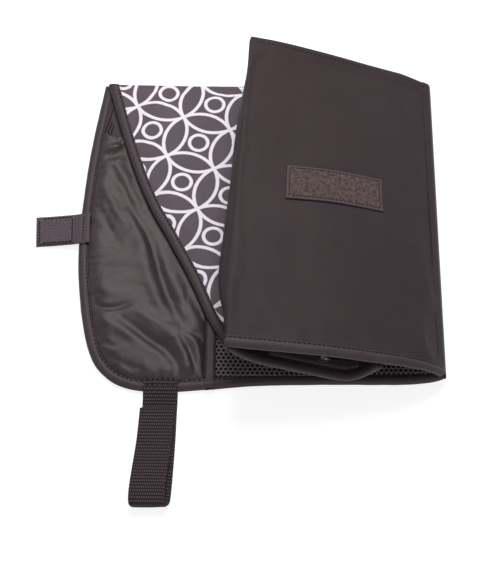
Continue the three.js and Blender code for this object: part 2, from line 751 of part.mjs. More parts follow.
// The slider rides over the coils, its long side down the slope; its own frame has x along the zip
function buildSlider() {
  const slope = Math.atan2(zipWay.z, zipWay.x);
  const coilTop = layerGap + zipTapeThickness + layerGap + zipCoilHeight;
  const group = new THREE.Group();
  group.position.copy(zipStraightEnd.clone().addScaledVector(zipWay, -zipRestGap));
  group.rotation.y = -slope;
  clutch.add(group);
  const halfSlider = sliderLength / 2;
  const innerHalf = zipCoilWidth + zipCoilGap / 2 + sliderClearance;
  const bottom = layerGap + zipTapeThickness + sliderClearance;
  const roof = coilTop + sliderClearance;
  const top = roof + sliderWall;
  const body = blockBetween(new THREE.Vector3(-halfSlider, -sliderWidth / 2, bottom),
    new THREE.Vector3(halfSlider, sliderWidth / 2, top));
  const channel = blockBetween(new THREE.Vector3(-halfSlider - cutOverrun, -innerHalf, bottom - cutOverrun),
    new THREE.Vector3(halfSlider + cutOverrun, innerHalf, roof));
  const bridge = blockBetween(
    new THREE.Vector3(-sliderBridgeLength / 2, -sliderBridgeWidth / 2, top - sliderWall / 2),
    new THREE.Vector3(sliderBridgeLength / 2, sliderBridgeWidth / 2, top + sliderBridgeHeight));
  const eye = blockBetween(
    new THREE.Vector3(-sliderBridgeLength / 2 + sliderWall, -sliderWidth, top),
    new THREE.Vector3(
      sliderBridgeLength / 2 - sliderWall, sliderWidth, top + sliderBridgeHeight - sliderWall));
  const whole = solidOf(body).subtract(solidOf(channel)).add(solidOf(bridge)).subtract(solidOf(eye));
  addPiece("zip_slider", geometryOf(whole), looks.zipMetal, group);
  buildPull(group, top);
}

// The pull is a plate with a slot near its root, and the slider's bridge stands in the slot
function buildPull(group, bodyTop) {
  const halfPlate = pullThickness / 2;
  const halfSlot = sliderBridgeWidth / 2 + sliderClearance;
  const middle = bodyTop + (sliderBridgeHeight - sliderWall) / 2;
  const plate = blockBetween(new THREE.Vector3(-halfPlate, -pullWidth / 2, middle - halfPlate),
    new THREE.Vector3(pullLength, pullWidth / 2, middle + halfPlate));
  const slot = blockBetween(new THREE.Vector3(halfPlate, -halfSlot, middle - pullThickness),
    new THREE.Vector3(pullSlotReach, halfSlot, middle + pullThickness));
  addPiece("zip_pull", cut(plate, slot), looks.zipMetal, group);
}

// Cloth that turns from the back panel's edge up to the cover's edge
function buildSpine() {
  const outlineAt = (y) => {
    const start = corner(spineX - spineGap + layerGap, clothThickness / 2);
    const end = skin(0, y, 0);
    const curve = new THREE.CubicBezierCurve(start,
      corner(spineX + spineReach, start.y), corner(spineX + spineReach, end.z),
      corner(end.x + layerGap, end.z));
    return curve.getPoints(spineSteps);
  };
  const spine = surfaceAlong(outlineAt);
  const halfCloth = clothThickness / 2;
  addPiece("spine_cloth",
    sheetOn(spine, stepsBetween(0, spineSteps), -halfLength, halfLength, -halfCloth, halfCloth), looks.shell);
}

// A flat strap along a path: pathPoints of (y, z) at its middle, centreXAt its place across
function strapSlab(pathPoints, centreXAt, width, thickness) {
  const way = (index) => {
    const before = pathPoints[Math.max(index - 1, 0)];
    const after = pathPoints[Math.min(index + 1, pathPoints.length - 1)];
    return after.clone().sub(before).normalize();
  };
  return gridSlab(pathPoints.length - 1, 1, (row, column, side) => {
    const point = pathPoints[row];
    const along = way(row);
    const off = (side ? 0.5 : -0.5) * thickness;
    const x = centreXAt(row, point) + (column ? 0.5 : -0.5) * width;
    return new THREE.Vector3(x, point.x + along.y * off, point.y - along.x * off);
  });
}

// Closing tab: sewn on the flap's edge, dropping to the table, with hook tape on its face
const tabRootX = foldX - flapReach - layerGap;
const tabPathStart = tabRootX + layerGap;

function tabSlab(points, width, thickness) {
  const way = points[1].clone().sub(points[0]).normalize();
  return gridSlab(1, 1, (row, column, side) => {
    const off = (side ? 0.5 : -0.5) * thickness;
    const lean = (tabLean * (tabPathStart - points[row].x)) / tabLength;
    const y = tabShift - lean + (column ? -0.5 : 0.5) * width;
    return new THREE.Vector3(points[row].x + way.y * off, y, points[row].y - way.x * off);
  });
}

function buildTab() {
  const anchorHeight = pocketBottom + tabThickness / 2;
  const anchor = [
    corner(tabRootX + tabAnchorLength, anchorHeight),
    corner(tabRootX + layerGap, anchorHeight),
  ];
  addPiece("tab_anchor", tabSlab(anchor, tabWidth, tabThickness), looks.hookTape);
  const root = corner(tabRootX, anchorHeight);
  const tip = corner(tabRootX - tabLength, tabThickness / 2);
  addPiece("tab_cloth", tabSlab([root, tip], tabWidth, tabThickness), looks.hookTape);
  const way = tip.clone().sub(root).normalize();
  const lift = corner(way.y, -way.x).multiplyScalar((tabThickness + hookThickness) / 2 + layerGap);
  const hookEnd = tip.clone().addScaledVector(way, -tabHookMargin).add(lift);
  const hookStart = hookEnd.clone().addScaledVector(way, -tabHookLength);
  const hookWidth = tabWidth - 2 * tabHookMargin;
  addPiece("tab_hook_tape", tabSlab([hookStart, hookEnd], hookWidth, hookThickness), looks.hookTape);
}

// Wrist strap: webbing from the front seam to the loop's end, and its free end laid back over it
const strapSeamY = lowestAt(flapPlan, strapX);
const strapLandingY = strapSeamY - strapDropLength;
const strapLoopY = strapSeamY - strapLength;
const strapEndY = strapSeamY - strapEndGap;
const strapLow = webbingThickness / 2;
const strapHigh = strapLow + loopHeight;
const strapRootHeight = pocketBottom + webbingThickness / 2;
const strapRadius = loopHeight / 2;
const closureHeight = 2 * (closureThickness + layerGap) + layerGap + webbingThickness + strapLow;

function lowerStrapX(row, point) {
  const along = (strapSeamY - point.x) / (strapSeamY - strapLoopY);
  const turned = point.x < strapLoopY || row > strapDropSteps + strapRunSteps
    ? (point.y - strapLow) / loopHeight : 0;
  return strapX - strapDrift * along - loopTwist * turned;
}

function upperStrapX(row, point) {
  const along = (strapEndY - point.x) / (strapEndY - strapLoopY);
  return strapX - strapEndShift + (strapEndShift - strapDrift - loopTwist) * along;
}

function buildStrap() {
  const anchor = [
    corner(strapSeamY + strapAnchorLength, strapRootHeight),
    corner(strapSeamY + layerGap, strapRootHeight),
  ];
  addPiece("strap_anchor", strapSlab(anchor, () => strapX, webbingWidth, webbingThickness), looks.webbing);
  const rootY = strapSeamY - layerGap;
  const bendY = (rootY + strapLandingY) / 2;
  const drop = new THREE.CubicBezierCurve(corner(rootY, strapRootHeight), corner(bendY, strapRootHeight),
    corner(bendY, strapLow), corner(strapLandingY, strapLow));
  const run = new THREE.LineCurve(corner(strapLandingY, strapLow), corner(strapLoopY, strapLow));
  const turn = stepsBetween(0, Math.PI, loopBendSteps).map((angle) =>
    corner(strapLoopY - strapRadius * Math.sin(angle), strapLow + strapRadius * (1 - Math.cos(angle))));
  const lower = [
    ...drop.getPoints(strapDropSteps),
    ...run.getPoints(strapRunSteps).slice(1),
    ...turn.slice(1),
  ];
  addPiece("strap_webbing", strapSlab(lower, lowerStrapX, webbingWidth, webbingThickness), looks.webbing);

  const closureLoopY = strapEndY - closureLength;
  const riseStartY = strapLoopY + 2 * layerGap;
  const middleY = (riseStartY + closureLoopY) / 2;
  const rise = new THREE.CubicBezierCurve(corner(riseStartY, strapHigh), corner(middleY, strapHigh),
    corner(middleY, closureHeight), corner(closureLoopY, closureHeight));
  const upper = [...rise.getPoints(strapRiseSteps), corner(strapEndY, closureHeight)].reverse();
  addPiece("strap_free_end", strapSlab(upper, upperStrapX, webbingWidth, webbingThickness), looks.webbing);

  const padWidth = webbingWidth - 2 * closureMargin;
  const padPath = (height) => [
    corner(strapEndY - closureMargin, height), corner(closureLoopY + closureMargin, height),
  ];
  const loopHeightZ = webbingThickness + layerGap + closureThickness / 2;
  addPiece("strap_loop_pad",
    strapSlab(padPath(loopHeightZ), lowerStrapX, padWidth, closureThickness), looks.loopTape);
  const hookHeightZ = loopHeightZ + closureThickness + layerGap;
  addPiece("strap_hook_pad",
    strapSlab(padPath(hookHeightZ), upperStrapX, padWidth, closureThickness), looks.hookTape);
}

buildBackPanel();
buildMeshPocket();
buildFlap();
buildNylonPocket();
buildPad();
buildCover();
buildPocketPanel();
buildZip();
buildSlider();
buildSpine();
buildTab();
buildStrap();

export default clutch;
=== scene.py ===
"""The looks of the nappy changing clutch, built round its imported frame. Sizes are in millimetres and become
metres where a mesh is made. +Z is up, +Y the far end, and the origin the middle of the back panel's
underside."""

import math

import bpy
import numpy as np
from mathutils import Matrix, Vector, noise
from mathutils.geometry import delaunay_2d_cdt


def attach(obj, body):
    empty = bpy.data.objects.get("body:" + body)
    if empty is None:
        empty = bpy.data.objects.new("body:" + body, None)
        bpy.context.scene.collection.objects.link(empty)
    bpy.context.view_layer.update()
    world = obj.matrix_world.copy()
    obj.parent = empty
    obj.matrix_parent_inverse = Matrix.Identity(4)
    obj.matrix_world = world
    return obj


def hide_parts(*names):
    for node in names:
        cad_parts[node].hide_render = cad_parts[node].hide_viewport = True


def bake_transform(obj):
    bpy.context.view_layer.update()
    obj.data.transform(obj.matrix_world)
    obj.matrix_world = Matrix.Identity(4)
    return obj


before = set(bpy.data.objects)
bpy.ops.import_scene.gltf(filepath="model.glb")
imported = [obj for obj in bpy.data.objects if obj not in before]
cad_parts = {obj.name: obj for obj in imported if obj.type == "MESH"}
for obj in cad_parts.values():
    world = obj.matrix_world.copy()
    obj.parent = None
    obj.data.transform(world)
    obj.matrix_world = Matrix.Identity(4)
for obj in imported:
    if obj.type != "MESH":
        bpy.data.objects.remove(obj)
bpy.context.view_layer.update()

MM = 0.001
HALF_WIDTH, HALF_LENGTH = 102.0, 158.0
PANEL, GAP, TAPE = 4.6, 0.3, 9.0
EDGE_RADIUS = 2.3
SEAM_INSET, THREAD_LIFT = TAPE - 1.6, 0.85
ON_EDGE = 1e-3

# Camera, light and floor

CAMERA_AZIMUTH, CAMERA_ELEVATION = math.radians(0.49), math.radians(60.0)
CAMERA_TARGET, CAMERA_DISTANCE = Vector((-0.06806, -0.05371, 0.0)), 1.48368
FOCAL_PIXELS, PHOTO_PIXELS, SENSOR = 1659, 561, 36
LAMPS = ("key", (-0.04, 0.6, 1.06), 0.6, 12), ("fill", (0.1, -1.5, 0.7), 1.0, 5.5)
LAMP_AIM = -0.05, 0, 0.02


def add_object(name, data):
    made = bpy.data.objects.new(name, data)
    bpy.context.scene.collection.objects.link(made)
    return made


def add_aimed(name, data, place, aim):
    made = add_object(name, data)
    made.location = place
    made.rotation_euler = (Vector(aim) - Vector(place)).to_track_quat("-Z", "Y").to_euler()
    return made


def make_camera():
    level = math.cos(CAMERA_ELEVATION)
    back = math.sin(CAMERA_AZIMUTH) * level, -math.cos(CAMERA_AZIMUTH) * level, math.sin(CAMERA_ELEVATION)
    place = CAMERA_TARGET + Vector(back) * CAMERA_DISTANCE
    data = bpy.data.cameras.new("camera")
    data.lens = FOCAL_PIXELS / PHOTO_PIXELS * SENSOR
    bpy.context.scene.camera = add_aimed("camera", data, place, CAMERA_TARGET)


def studio_material(name, strength, lit_colour=None):
    """White where a ray sees it; with lit_colour it also takes the lamps' light and the object's shadow."""
    build = Shader(name, (0.9, 0.9, 0.9), 0.9)
    paths = build.node("ShaderNodeLightPath").outputs
    seen = paths["Is Camera Ray"]
    for kind in ("Is Glossy Ray", "Is Transmission Ray"):
        seen = build.math("MAXIMUM", seen, paths[kind])
    glow = {"Color": (1, 1, 1, 1), "Strength": build.times(seen, strength)}
    surface = build.node("ShaderNodeEmission", glow).outputs[0]
    if lit_colour:
        lit = build.node("ShaderNodeBsdfDiffuse", {"Color": (*lit_colour, 1)}).outputs[0]
        surface = build.node("ShaderNodeAddShader", {0: lit, 1: surface}).outputs[0]
    build.put(build.tree.nodes["Material Output"].inputs["Surface"], surface)
    return build.material


def stage_piece(name, strength, lit_colour=None):
    """Names and dresses what was made last."""
    made = bpy.context.object
    made.name = name
    made.data.materials.append(studio_material(name, strength, lit_colour))
    return made


def make_studio():
    scene = bpy.context.scene
    scene.view_settings.view_transform = "Standard"
    scene.world = bpy.data.worlds.new("studio")
    scene.world.use_nodes = True
    sky = Nodes(scene.world.node_tree)
    height = sky.split(sky.node("ShaderNodeTexCoord").outputs["Generated"])[2]
    background = sky.tree.nodes["Background"].inputs
    background["Color"].default_value = (1, 1, 1, 1)
    sky.put(background["Strength"], sky.span(height, 0.0, 1.0, 0.1, 0.45))
    for name, place, size, power in LAMPS:
        data = bpy.data.lights.new(name, "AREA")
        data.shape, data.size, data.energy = "DISK", size, power
        add_aimed(name, data, place, LAMP_AIM)
    bpy.ops.mesh.primitive_circle_add(vertices=96, radius=5, fill_type="NGON", location=(0, 0, -0.0004))
    floor = stage_piece("floor", 0.8, (0.4, 0.39, 0.43))
    bpy.ops.mesh.primitive_cylinder_add(
        vertices=96, radius=4.9, depth=3, end_fill_type="NOTHING", location=(0, 0, 1.5))
    stage_piece("backdrop", 1.0)


# Materials


def linear(colour):
    return tuple((c / 255 / 12.92) if c <= 10 else ((c / 255 + 0.055) / 1.055) ** 2.4 for c in colour)


def shades(colour, *levels):
    return [tuple(c * level for c in colour) for level in levels]


class Nodes:
    """A node tree in the making: node() adds a node, its inputs being values or sockets."""

    def __init__(self, tree):
        self.tree = tree

    def put(self, socket, value):
        if isinstance(value, bpy.types.NodeSocket):
            self.tree.links.new(value, socket)
        else:
            socket.default_value = value

    def node(self, kind, inputs=None, **settings):
        made = self.tree.nodes.new(kind)
        for name, value in settings.items():
            setattr(made, name, value)
        for name, value in (inputs or {}).items():
            self.put(made.inputs[name], value)
        return made

    def math(self, operation, a, b=0.0):
        return self.node("ShaderNodeMath", {0: a, 1: b}, operation=operation).outputs[0]

    def times(self, a, b):
        return self.math("MULTIPLY", a, b)

    def blend(self, a, b, share):
        """share of a, and the rest of b."""
        return self.math("ADD", self.times(a, share), self.times(b, 1 - share))

    def least(self, values):
        nearest = values[0]
        for value in values[1:]:
            nearest = self.math("MINIMUM", nearest, value)
        return nearest

    def arch(self, value):
        """One half wave over each whole number."""
        return self.math("SINE", self.times(self.math("FRACT", value), math.pi))

    def vector(self, operation, a, b=(0, 0, 0), out="Vector"):
        return self.node("ShaderNodeVectorMath", {0: a, 1: b}, operation=operation).outputs[out]

    def split(self, vector):
        return self.node("ShaderNodeSeparateXYZ", {0: vector}).outputs

    def noise(self, vector, scale, detail=3.0, roughness=0.55):
        return self.node("ShaderNodeTexNoise", {
            "Vector": vector, "Scale": scale, "Detail": detail, "Roughness": roughness,
        }).outputs["Fac"]

    def span(self, value, low, high, to_low=0.0, to_high=1.0):
        return self.node("ShaderNodeMapRange", {
            "Value": value, "From Min": low, "From Max": high, "To Min": to_low, "To Max": to_high,
        }).outputs[0]

    def mix(self, factor, a, b):
        made = self.node("ShaderNodeMix", data_type="RGBA")
        self.put(made.inputs[0], factor)
        for socket, value in ((made.inputs[6], a), (made.inputs[7], b)):
            self.put(socket, (*value, 1) if isinstance(value, tuple) else value)
        return made.outputs[2]


class Shader(Nodes):
    """A material in the making. Its place is the cloth's own coordinates in millimetres, and looks are more
    inputs of its Principled BSDF."""

    def __init__(self, name, colour, roughness, **looks):
        self.material = bpy.data.materials.new(name)
        self.material.use_nodes = True
        super().__init__(self.material.node_tree)
        self.skin = self.tree.nodes["Principled BSDF"].inputs
        self.set(Base_Color=(*colour, 1), Roughness=roughness, Specular_IOR_Level=0.15)
        self.set(**looks)
        uv = self.node("ShaderNodeTexCoord").outputs["UV"]
        self.place = self.node("ShaderNodeVectorMath", {0: uv, "Scale": 1000.0}, operation="SCALE").outputs[0]

    def set(self, **looks):
        for name, value in looks.items():
            self.put(self.skin[name.replace("_", " ")], value)

    def bump(self, *layers):
        """Each layer is (height, millimetres)."""
        normal = {}
        for height, distance in layers:
            inputs = {"Height": height, "Distance": distance * MM, "Strength": 1.0, **normal}
            normal = {"Normal": self.node("ShaderNodeBump", inputs).outputs[0]}
        self.set(**normal)

    def finish(self, tone, low, high, *layers):
        """Colour from low to high by tone, and the bumps."""
        self.set(Base_Color=self.mix(tone, low, high))
        self.bump(*layers)
        return self.material

    def weave(self, pitch):
        """Over-and-under threads, 0 to 1."""
        runs = self.split(self.place)[:2]
        waves = [self.math("SINE", self.times(run, 2 * math.pi / pitch)) for run in runs]
        return self.span(self.times(*waves), -1, 1)


def cloth_material(name, colour, roughness, pitch=0.7, sheen=0.12, variation=0.16, streak=(0.25, 1.0, 1),
                   gloss=0.15):
    base = linear(colour)
    build = Shader(name, base, roughness, Specular_IOR_Level=gloss, Specular_Tint=(1.0, 0.86, 0.9, 1),
                   Sheen_Weight=sheen, Sheen_Roughness=0.45, Sheen_Tint=(0.9, 0.85, 0.9, 1))
    blotch = build.noise(build.place, 0.022, 4, 0.6)
    streaks = build.noise(build.vector("MULTIPLY", build.place, streak), 0.35, 3, 0.6)
    tone = build.span(build.blend(blotch, streaks, 0.6), 0.3, 0.7)
    creases = build.noise(build.place, 0.05, 4, 0.5)
    return build.finish(tone, *shades(base, 1 - variation, 1 + variation), (build.weave(pitch), 0.05),
                        (streaks, 0.03), (creases, 0.5))


def print_material():
    """Overlapping circles round the points of a square lattice, each with a small ring at its middle."""
    ground, line = linear((96, 84, 91)), linear((240, 233, 241))
    cell, ring_radius, half_line, angle = 46.0, 8.5, 1.5, math.radians(18)
    build = Shader("printed_cloth", ground, 0.7, Sheen_Weight=0.05, Sheen_Roughness=0.4)
    place = build.place
    turn = build.node("ShaderNodeVectorRotate", {"Vector": place, "Angle": angle}, rotation_type="Z_AXIS")
    in_cell = build.vector("FRACTION", build.vector("MULTIPLY", turn.outputs[0], (1 / cell, 1 / cell, 0)))
    gaps = []
    for corner in ((0, 0, 0), (1, 0, 0), (0, 1, 0), (1, 1, 0)):
        away = build.times(build.vector("DISTANCE", in_cell, corner, "Value"), cell)
        for radius in (cell / math.sqrt(2), ring_radius):
            gaps.append(build.math("ABSOLUTE", build.math("SUBTRACT", away, radius)))
    ragged = build.times(build.math("SUBTRACT", build.noise(place, 0.6, 2), 0.5), 0.5)
    inked = build.span(build.math("ADD", build.least(gaps), ragged), half_line + 0.35, half_line - 0.15)
    shade = build.mix(build.span(build.noise(place, 0.03, 4), 0.3, 0.7), *shades(ground, 0.88, 1.12))
    return build.finish(inked, shade, line, (build.weave(0.8), 0.06), (build.noise(place, 0.06, 3), 0.6))


def mesh_material():
    """Knitted mesh: two lattices of holes make hexagonal rows."""
    # The colour seen through the net's holes is partly the lining's own dark brown and partly painted shade
    # inside the pocket.
    thread, lining_and_shade_in_holes = linear((118, 108, 111)), linear((24, 20, 21))
    pitch, hole_radius, thread_start = 4.2, 1.25, 1.75
    build = Shader("air_mesh", thread, 0.75)
    place = build.place
    step = (pitch, pitch * math.sqrt(3), 1)
    gaps = []
    for shift in (0.0, 0.5):
        spot = build.vector("DIVIDE", build.vector("MULTIPLY", place, (1, 1, 0)), step)
        spot = build.vector("FRACTION", build.vector("ADD", spot, (shift, shift, 0)))
        off = build.vector("MULTIPLY", build.vector("SUBTRACT", spot, (0.5, 0.5, 0)), step)
        gaps.append(build.vector("LENGTH", build.vector("MULTIPLY", off, (1, 1, 0)), out="Value"))
    open_share = build.span(build.least(gaps), thread_start, hole_radius)
    shade = build.mix(build.noise(place, 0.5, 2), *shades(thread, 0.7, 1.3))
    closed = build.math("SUBTRACT", 1.0, open_share)
    return build.finish(open_share, shade, lining_and_shade_in_holes, (closed, 0.7), (build.noise(place, 2.0, 2), 0.1))


def webbing_material():
    """Ribs across the strap, each a row of knots set half a knot from the next row's. The ribs' crests are
    painted lighter and each knot's top gets a painted highlight.
    """
    dark, light = linear((41, 34, 38)), linear((118, 101, 102))
    row_pitch, knot_pitch = 3.05, 1.9
    build = Shader("webbing", dark, 0.7, Sheen_Weight=0.1, Sheen_Roughness=0.4)
    across, along, _ = build.split(build.place)
    row = build.math("DIVIDE", along, row_pitch)
    rib = build.arch(row)
    shift = build.times(build.math("FLOOR", row), 0.5)
    knot = build.arch(build.math("ADD", build.math("DIVIDE", across, knot_pitch), shift))
    knot_highlight = build.math("POWER", build.times(rib, knot), 3.0)
    fuzz = build.noise(build.place, 1.2, 2)
    # Painted highlight: each rib's crest is painted up to half again as light as its trough, and
    # knot_highlight puts a bright spot on each knot's top.
    body = build.mix(build.times(rib, fuzz), dark, *shades(dark, 1.5))
    lit = build.times(knot_highlight, build.span(fuzz, 0.3, 0.7, 0.5, 1.0))
    return build.finish(lit, body, light, (rib, 0.5), (knot, 0.35), (fuzz, 0.2))


def fuzz_material(name, colour, scale, depth):
    base = linear(colour)
    build = Shader(name, base, 0.95, Sheen_Weight=0.12, Sheen_Roughness=0.6, Sheen_Tint=(0.9, 0.8, 0.8, 1))
    coarse = build.noise(build.place, scale, 3, 0.7)
    fine = build.noise(build.place, scale * 4, 2, 0.7)
    tone = build.span(build.blend(coarse, fine, 0.6), 0.38, 0.62)
    return build.finish(tone, *shades(base, 0.35, 1.9), (coarse, depth), (fine, depth * 0.5))


def metal_material():
    build = Shader("zip_metal", linear((200, 196, 198)), 0.28, Metallic=1.0)
    build.bump((build.noise(build.node("ShaderNodeTexCoord").outputs["Object"], 900, 2), 0.02))
    return build.material


def make_materials():
    cloth = cloth_material
    return {
        "shell": cloth("shell_cloth", (60, 51, 53), 0.45, sheen=0.0, variation=0.1, gloss=0.08),
        "lining": cloth("lining_cloth", (54, 45, 47), 0.6, sheen=0.02, gloss=0.3),
        "binding": cloth("binding_tape", (60, 51, 54), 0.55, 1.1, sheen=0.02, streak=(1, 0.2, 1), gloss=0.3),
        "nylon": cloth("nylon", (50, 41, 42), 0.38, 0.5, sheen=0.0, variation=0.1, gloss=0.42),
        "print": print_material(),
        "mesh": mesh_material(),
        "webbing": webbing_material(),
        "loop_tape": fuzz_material("loop_tape", (80, 66, 65), 0.3, 0.6),
        "hook_tape": fuzz_material("hook_tape", (84, 74, 81), 0.7, 0.25),
        "tab_cloth": cloth("tab_cloth", (84, 74, 80), 0.6, 1.2, sheen=0.03),
        # The thread is much darker than the cloth: partly its own dark brown, partly painted shade for the
        # dips where the stitches sink in.
        "thread": cloth("thread", (32, 26, 29), 0.6, sheen=0.02),
        "selvage": cloth("selvage", (84, 73, 77), 0.6, 1.0, sheen=0.02),
        "coil": cloth("zip_coil", (46, 38, 41), 0.4, 1.0),
        "metal": metal_material(),
    }


# Lines and meshes


def unit(vectors):
    return vectors / np.linalg.norm(vectors, axis=-1, keepdims=True)


def clamp(share):
    return np.clip(share, 0, 1)


def run_along(points):
    """Distance along a polyline at each of its points."""
    return np.concatenate([[0], np.cumsum(np.linalg.norm(np.diff(points, axis=0), axis=1))])


def catmull(points, share):
    place = clamp(share) * (len(points) - 1)
    i = np.minimum(place.astype(int), len(points) - 2)
    w = (place - i)[:, None]
    before, a, b, after = (points[np.clip(i + k, 0, len(points) - 1)] for k in (-1, 0, 1, 2))
    v0, v1 = (b - before) / 2, (after - a) / 2
    return (2 * a - 2 * b + v0 + v1) * w**3 + (-3 * a + 3 * b - 2 * v0 - v1) * w**2 + v0 * w + a


def bezier(points, share):
    points, s = [np.asarray(p, float) for p in points], share[:, None]
    while len(points) > 1:
        points = [a * (1 - s) + b * s for a, b in zip(points, points[1:])]
    return points[0]


def on_line(places, run, line):
    """Points of a line at some places, where run is the place of each point it is given by."""
    return np.stack([np.interp(places, run, column) for column in line.T], -1)


def even(points, count):
    """count points along a polyline, evenly spaced."""
    points = np.asarray(points, float)
    run = run_along(points)
    return on_line(np.linspace(0, run[-1], count), run, points)


def smooth_curve(points, count, fine=400):
    return even(catmull(np.asarray(points, float), np.linspace(0, 1, fine)), count)


def share_curve(start, reach, shares, count):
    return smooth_curve(np.array(start) + np.array(shares) * reach, count)


def at_height(flat, height):
    return np.column_stack([flat, np.broadcast_to(height, len(flat))])


def ripple(points, size, height, seed):
    """Smooth noise at each point, from about -height to height."""
    shift = Vector((seed, seed * 1.7, seed * 0.3))
    flat = points.reshape(-1, 3)
    waves = np.array([noise.noise(Vector(p) / size + shift) for p in flat])
    return waves.reshape(points.shape[:-1]) * height


def rounding(distance, radius=EDGE_RADIUS):
    """Share of the full thickness at a distance from a rounded edge."""
    d = clamp(distance / radius)
    return np.sqrt(clamp(1 - (1 - d) ** 2))


def grid_uv(by_row, by_column):
    return np.stack(np.broadcast_arrays(by_row[:, None], by_column[None, :]), -1)


def add_mesh(name, points, faces, uvs, materials, material_index=None):
    """points in mm, one uv in mm for each point."""
    mesh = bpy.data.meshes.new(name)
    mesh.from_pydata((points * MM).tolist(), [], faces)
    layer = mesh.uv_layers.new(name="UVMap")
    corners = np.zeros(len(mesh.loops), np.int32)
    mesh.loops.foreach_get("vertex_index", corners)
    layer.data.foreach_set("uv", (uvs[corners] * MM).astype(np.float32).ravel())
    for material in materials:
        mesh.materials.append(MATERIALS[material])
    mesh.polygons.foreach_set("use_smooth", [True] * len(mesh.polygons))
    if material_index is not None:
        mesh.polygons.foreach_set("material_index", material_index)
    mesh.validate()
    return add_object(name, mesh)


def dress(obj, where, slot, *nodes):
    """where is a body, or a bend between two; nodes are the solids that the piece stands for."""
    if isinstance(where, str):
        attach(obj, where)
    else:
        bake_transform(obj)
    if nodes:
        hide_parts(*nodes)


def bend(body, other, start, end):
    """Where a piece passes from one body to another, between two places in mm."""
    return body, other, tuple(c * MM for c in start), tuple(c * MM for c in end)


def flap_bend(reach, height):
    """The bend over the flap's fold, to reach on both sides of it."""
    return bend("base", "flap", (-HALF_WIDTH + reach, 0, height), (-HALF_WIDTH - reach, 0, height))


def grid_faces(rows, columns, first=0):
    r, c = np.meshgrid(np.arange(rows - 1), np.arange(columns - 1), indexing="ij")
    a = first + r * columns + c
    return np.stack([a, a + columns, a + columns + 1, a + 1], -1).reshape(-1, 4)


def slab(name, upper, lower, uvs, materials):
    """A closed sheet between two grids of points; the lower side has the last material."""
    rows, columns = upper.shape[:2]
    count = rows * columns
    top, under = grid_faces(rows, columns).tolist(), grid_faces(rows, columns, count)[:, ::-1].tolist()
    index = np.arange(count).reshape(rows, columns)
    loop = np.concatenate([index[0, :-1], index[:-1, -1], index[-1, :0:-1], index[:0:-1, 0]])
    after = np.roll(loop, -1)
    rim = np.stack([loop, after, count + after, count + loop], -1).tolist()
    slots = [0] * len(top) + [len(materials) - 1] * len(under) + [0] * len(rim)
    points = np.concatenate([upper.reshape(-1, 3), lower.reshape(-1, 3)])
    return add_mesh(name, points, top + under + rim, np.tile(uvs.reshape(-1, 2), (2, 1)), materials, slots)


def tube_faces(count, size):
    """Faces over rings of points, with both ends capped."""
    index = np.arange(count * size).reshape(count, size)
    after = np.roll(index, -1, axis=1)
    sides = np.stack([index[:-1], after[:-1], after[1:], index[1:]], -1).reshape(-1, 4)
    return sides.tolist() + [index[0][::-1].tolist(), index[-1].tolist()]


def tube(name, rings, uvs, material):
    """A closed skin over rings of points, (ring, point, 3)."""
    return add_mesh(name, rings.reshape(-1, 3), tube_faces(*rings.shape[:2]), uvs.reshape(-1, 2), [material])


def rods(name, places, shape, sides, material):
    """Short rods, each at (centre, axis, side, up); shape gives a rod's rings as (share of axis, swell)."""
    angle = np.linspace(0, 2 * math.pi, sides + 1)[:-1]
    cosine, sine = np.tile([np.cos(angle), np.sin(angle)], len(shape))[..., None]
    along, swell = np.repeat(np.array(shape).T, sides, axis=1)[..., None]
    template = tube_faces(len(shape), sides)
    points, faces, uvs = [], [], []
    for k, (centre, axis, side, up) in enumerate(places):
        points.append(centre + along * axis + (cosine * side + sine * up) * swell)
        uvs.append(np.hstack([cosine, along * np.linalg.norm(axis)]))
        faces += [[k * len(cosine) + i for i in face] for face in template]
    return add_mesh(name, np.concatenate(points), faces, np.concatenate(uvs), [material])


def stitches(name, paths, where, pitch=4.2, length=2.7, radius=0.45):
    """Rows of short threads; each path is points in mm and the normals of the sewn surface."""
    places = []
    for path, normal in paths:
        run = run_along(path)
        middle = (np.arange(int(run[-1] / pitch)) + 0.5) * pitch
        near, far = (on_line(middle + shift, run, path) for shift in (-length / 2, length / 2))
        way = unit(far - near)
        side = unit(np.cross(on_line(middle, run, np.broadcast_to(normal, path.shape)), way))
        places += zip((near + far) / 2, way * length, side * radius, np.cross(way, side) * radius * 0.8)
    shape = [(-0.5, 0.35), (-0.36, 0.9), (0.0, 1.0), (0.36, 0.9), (0.5, 0.35)]
    dress(rods(name, places, shape, 6, "thread"), where, "binding")


CLOTH_FRAMES = 20


def relax_cloth(points, faces, held, pressure, growth, cap, bending=0.4):
    """Cloth simulation of one layer, points in mm: held points stay put, and none moves further than cap."""
    scene = bpy.context.scene
    mesh = bpy.data.meshes.new("cloth_work")
    mesh.from_pydata((points * MM).tolist(), [], faces)
    obj = add_object("cloth_work", mesh)
    obj.vertex_groups.new(name="held").add(np.flatnonzero(held).tolist(), 1.0, "REPLACE")
    cloth = obj.modifiers.new("cloth", "CLOTH")
    settings = cloth.settings
    settings.quality, settings.mass = 6, 0.15
    settings.tension_stiffness = settings.compression_stiffness = 15
    settings.shear_stiffness, settings.bending_stiffness = 5, bending
    settings.vertex_group_mass = "held"
    settings.shrink_min = -growth
    settings.use_pressure, settings.uniform_pressure_force = True, pressure
    settings.effector_weights.gravity = 0
    cloth.collision_settings.use_collision = False
    cloth.point_cache.frame_end = CLOTH_FRAMES
    for number in range(1, CLOTH_FRAMES + 1):
        scene.frame_set(number)
    done = obj.evaluated_get(bpy.context.evaluated_depsgraph_get()).data
    moved = np.zeros(len(points) * 3)
    done.vertices.foreach_get("co", moved)
    scene.frame_set(1)
    bpy.data.objects.remove(obj)
    bpy.data.meshes.remove(mesh)
    shift = moved.reshape(-1, 3) / MM - points
    shift *= np.minimum(1, cap / np.maximum(np.linalg.norm(shift, axis=1)[:, None], 1e-6))
    return points + np.where(held[:, None], 0, shift)


# The cover's skin: one line across the object at each y, over the cover, round its soft fold and back
# along the pocket panel. Places on it are steps: 0 at the spine, then the ends given here

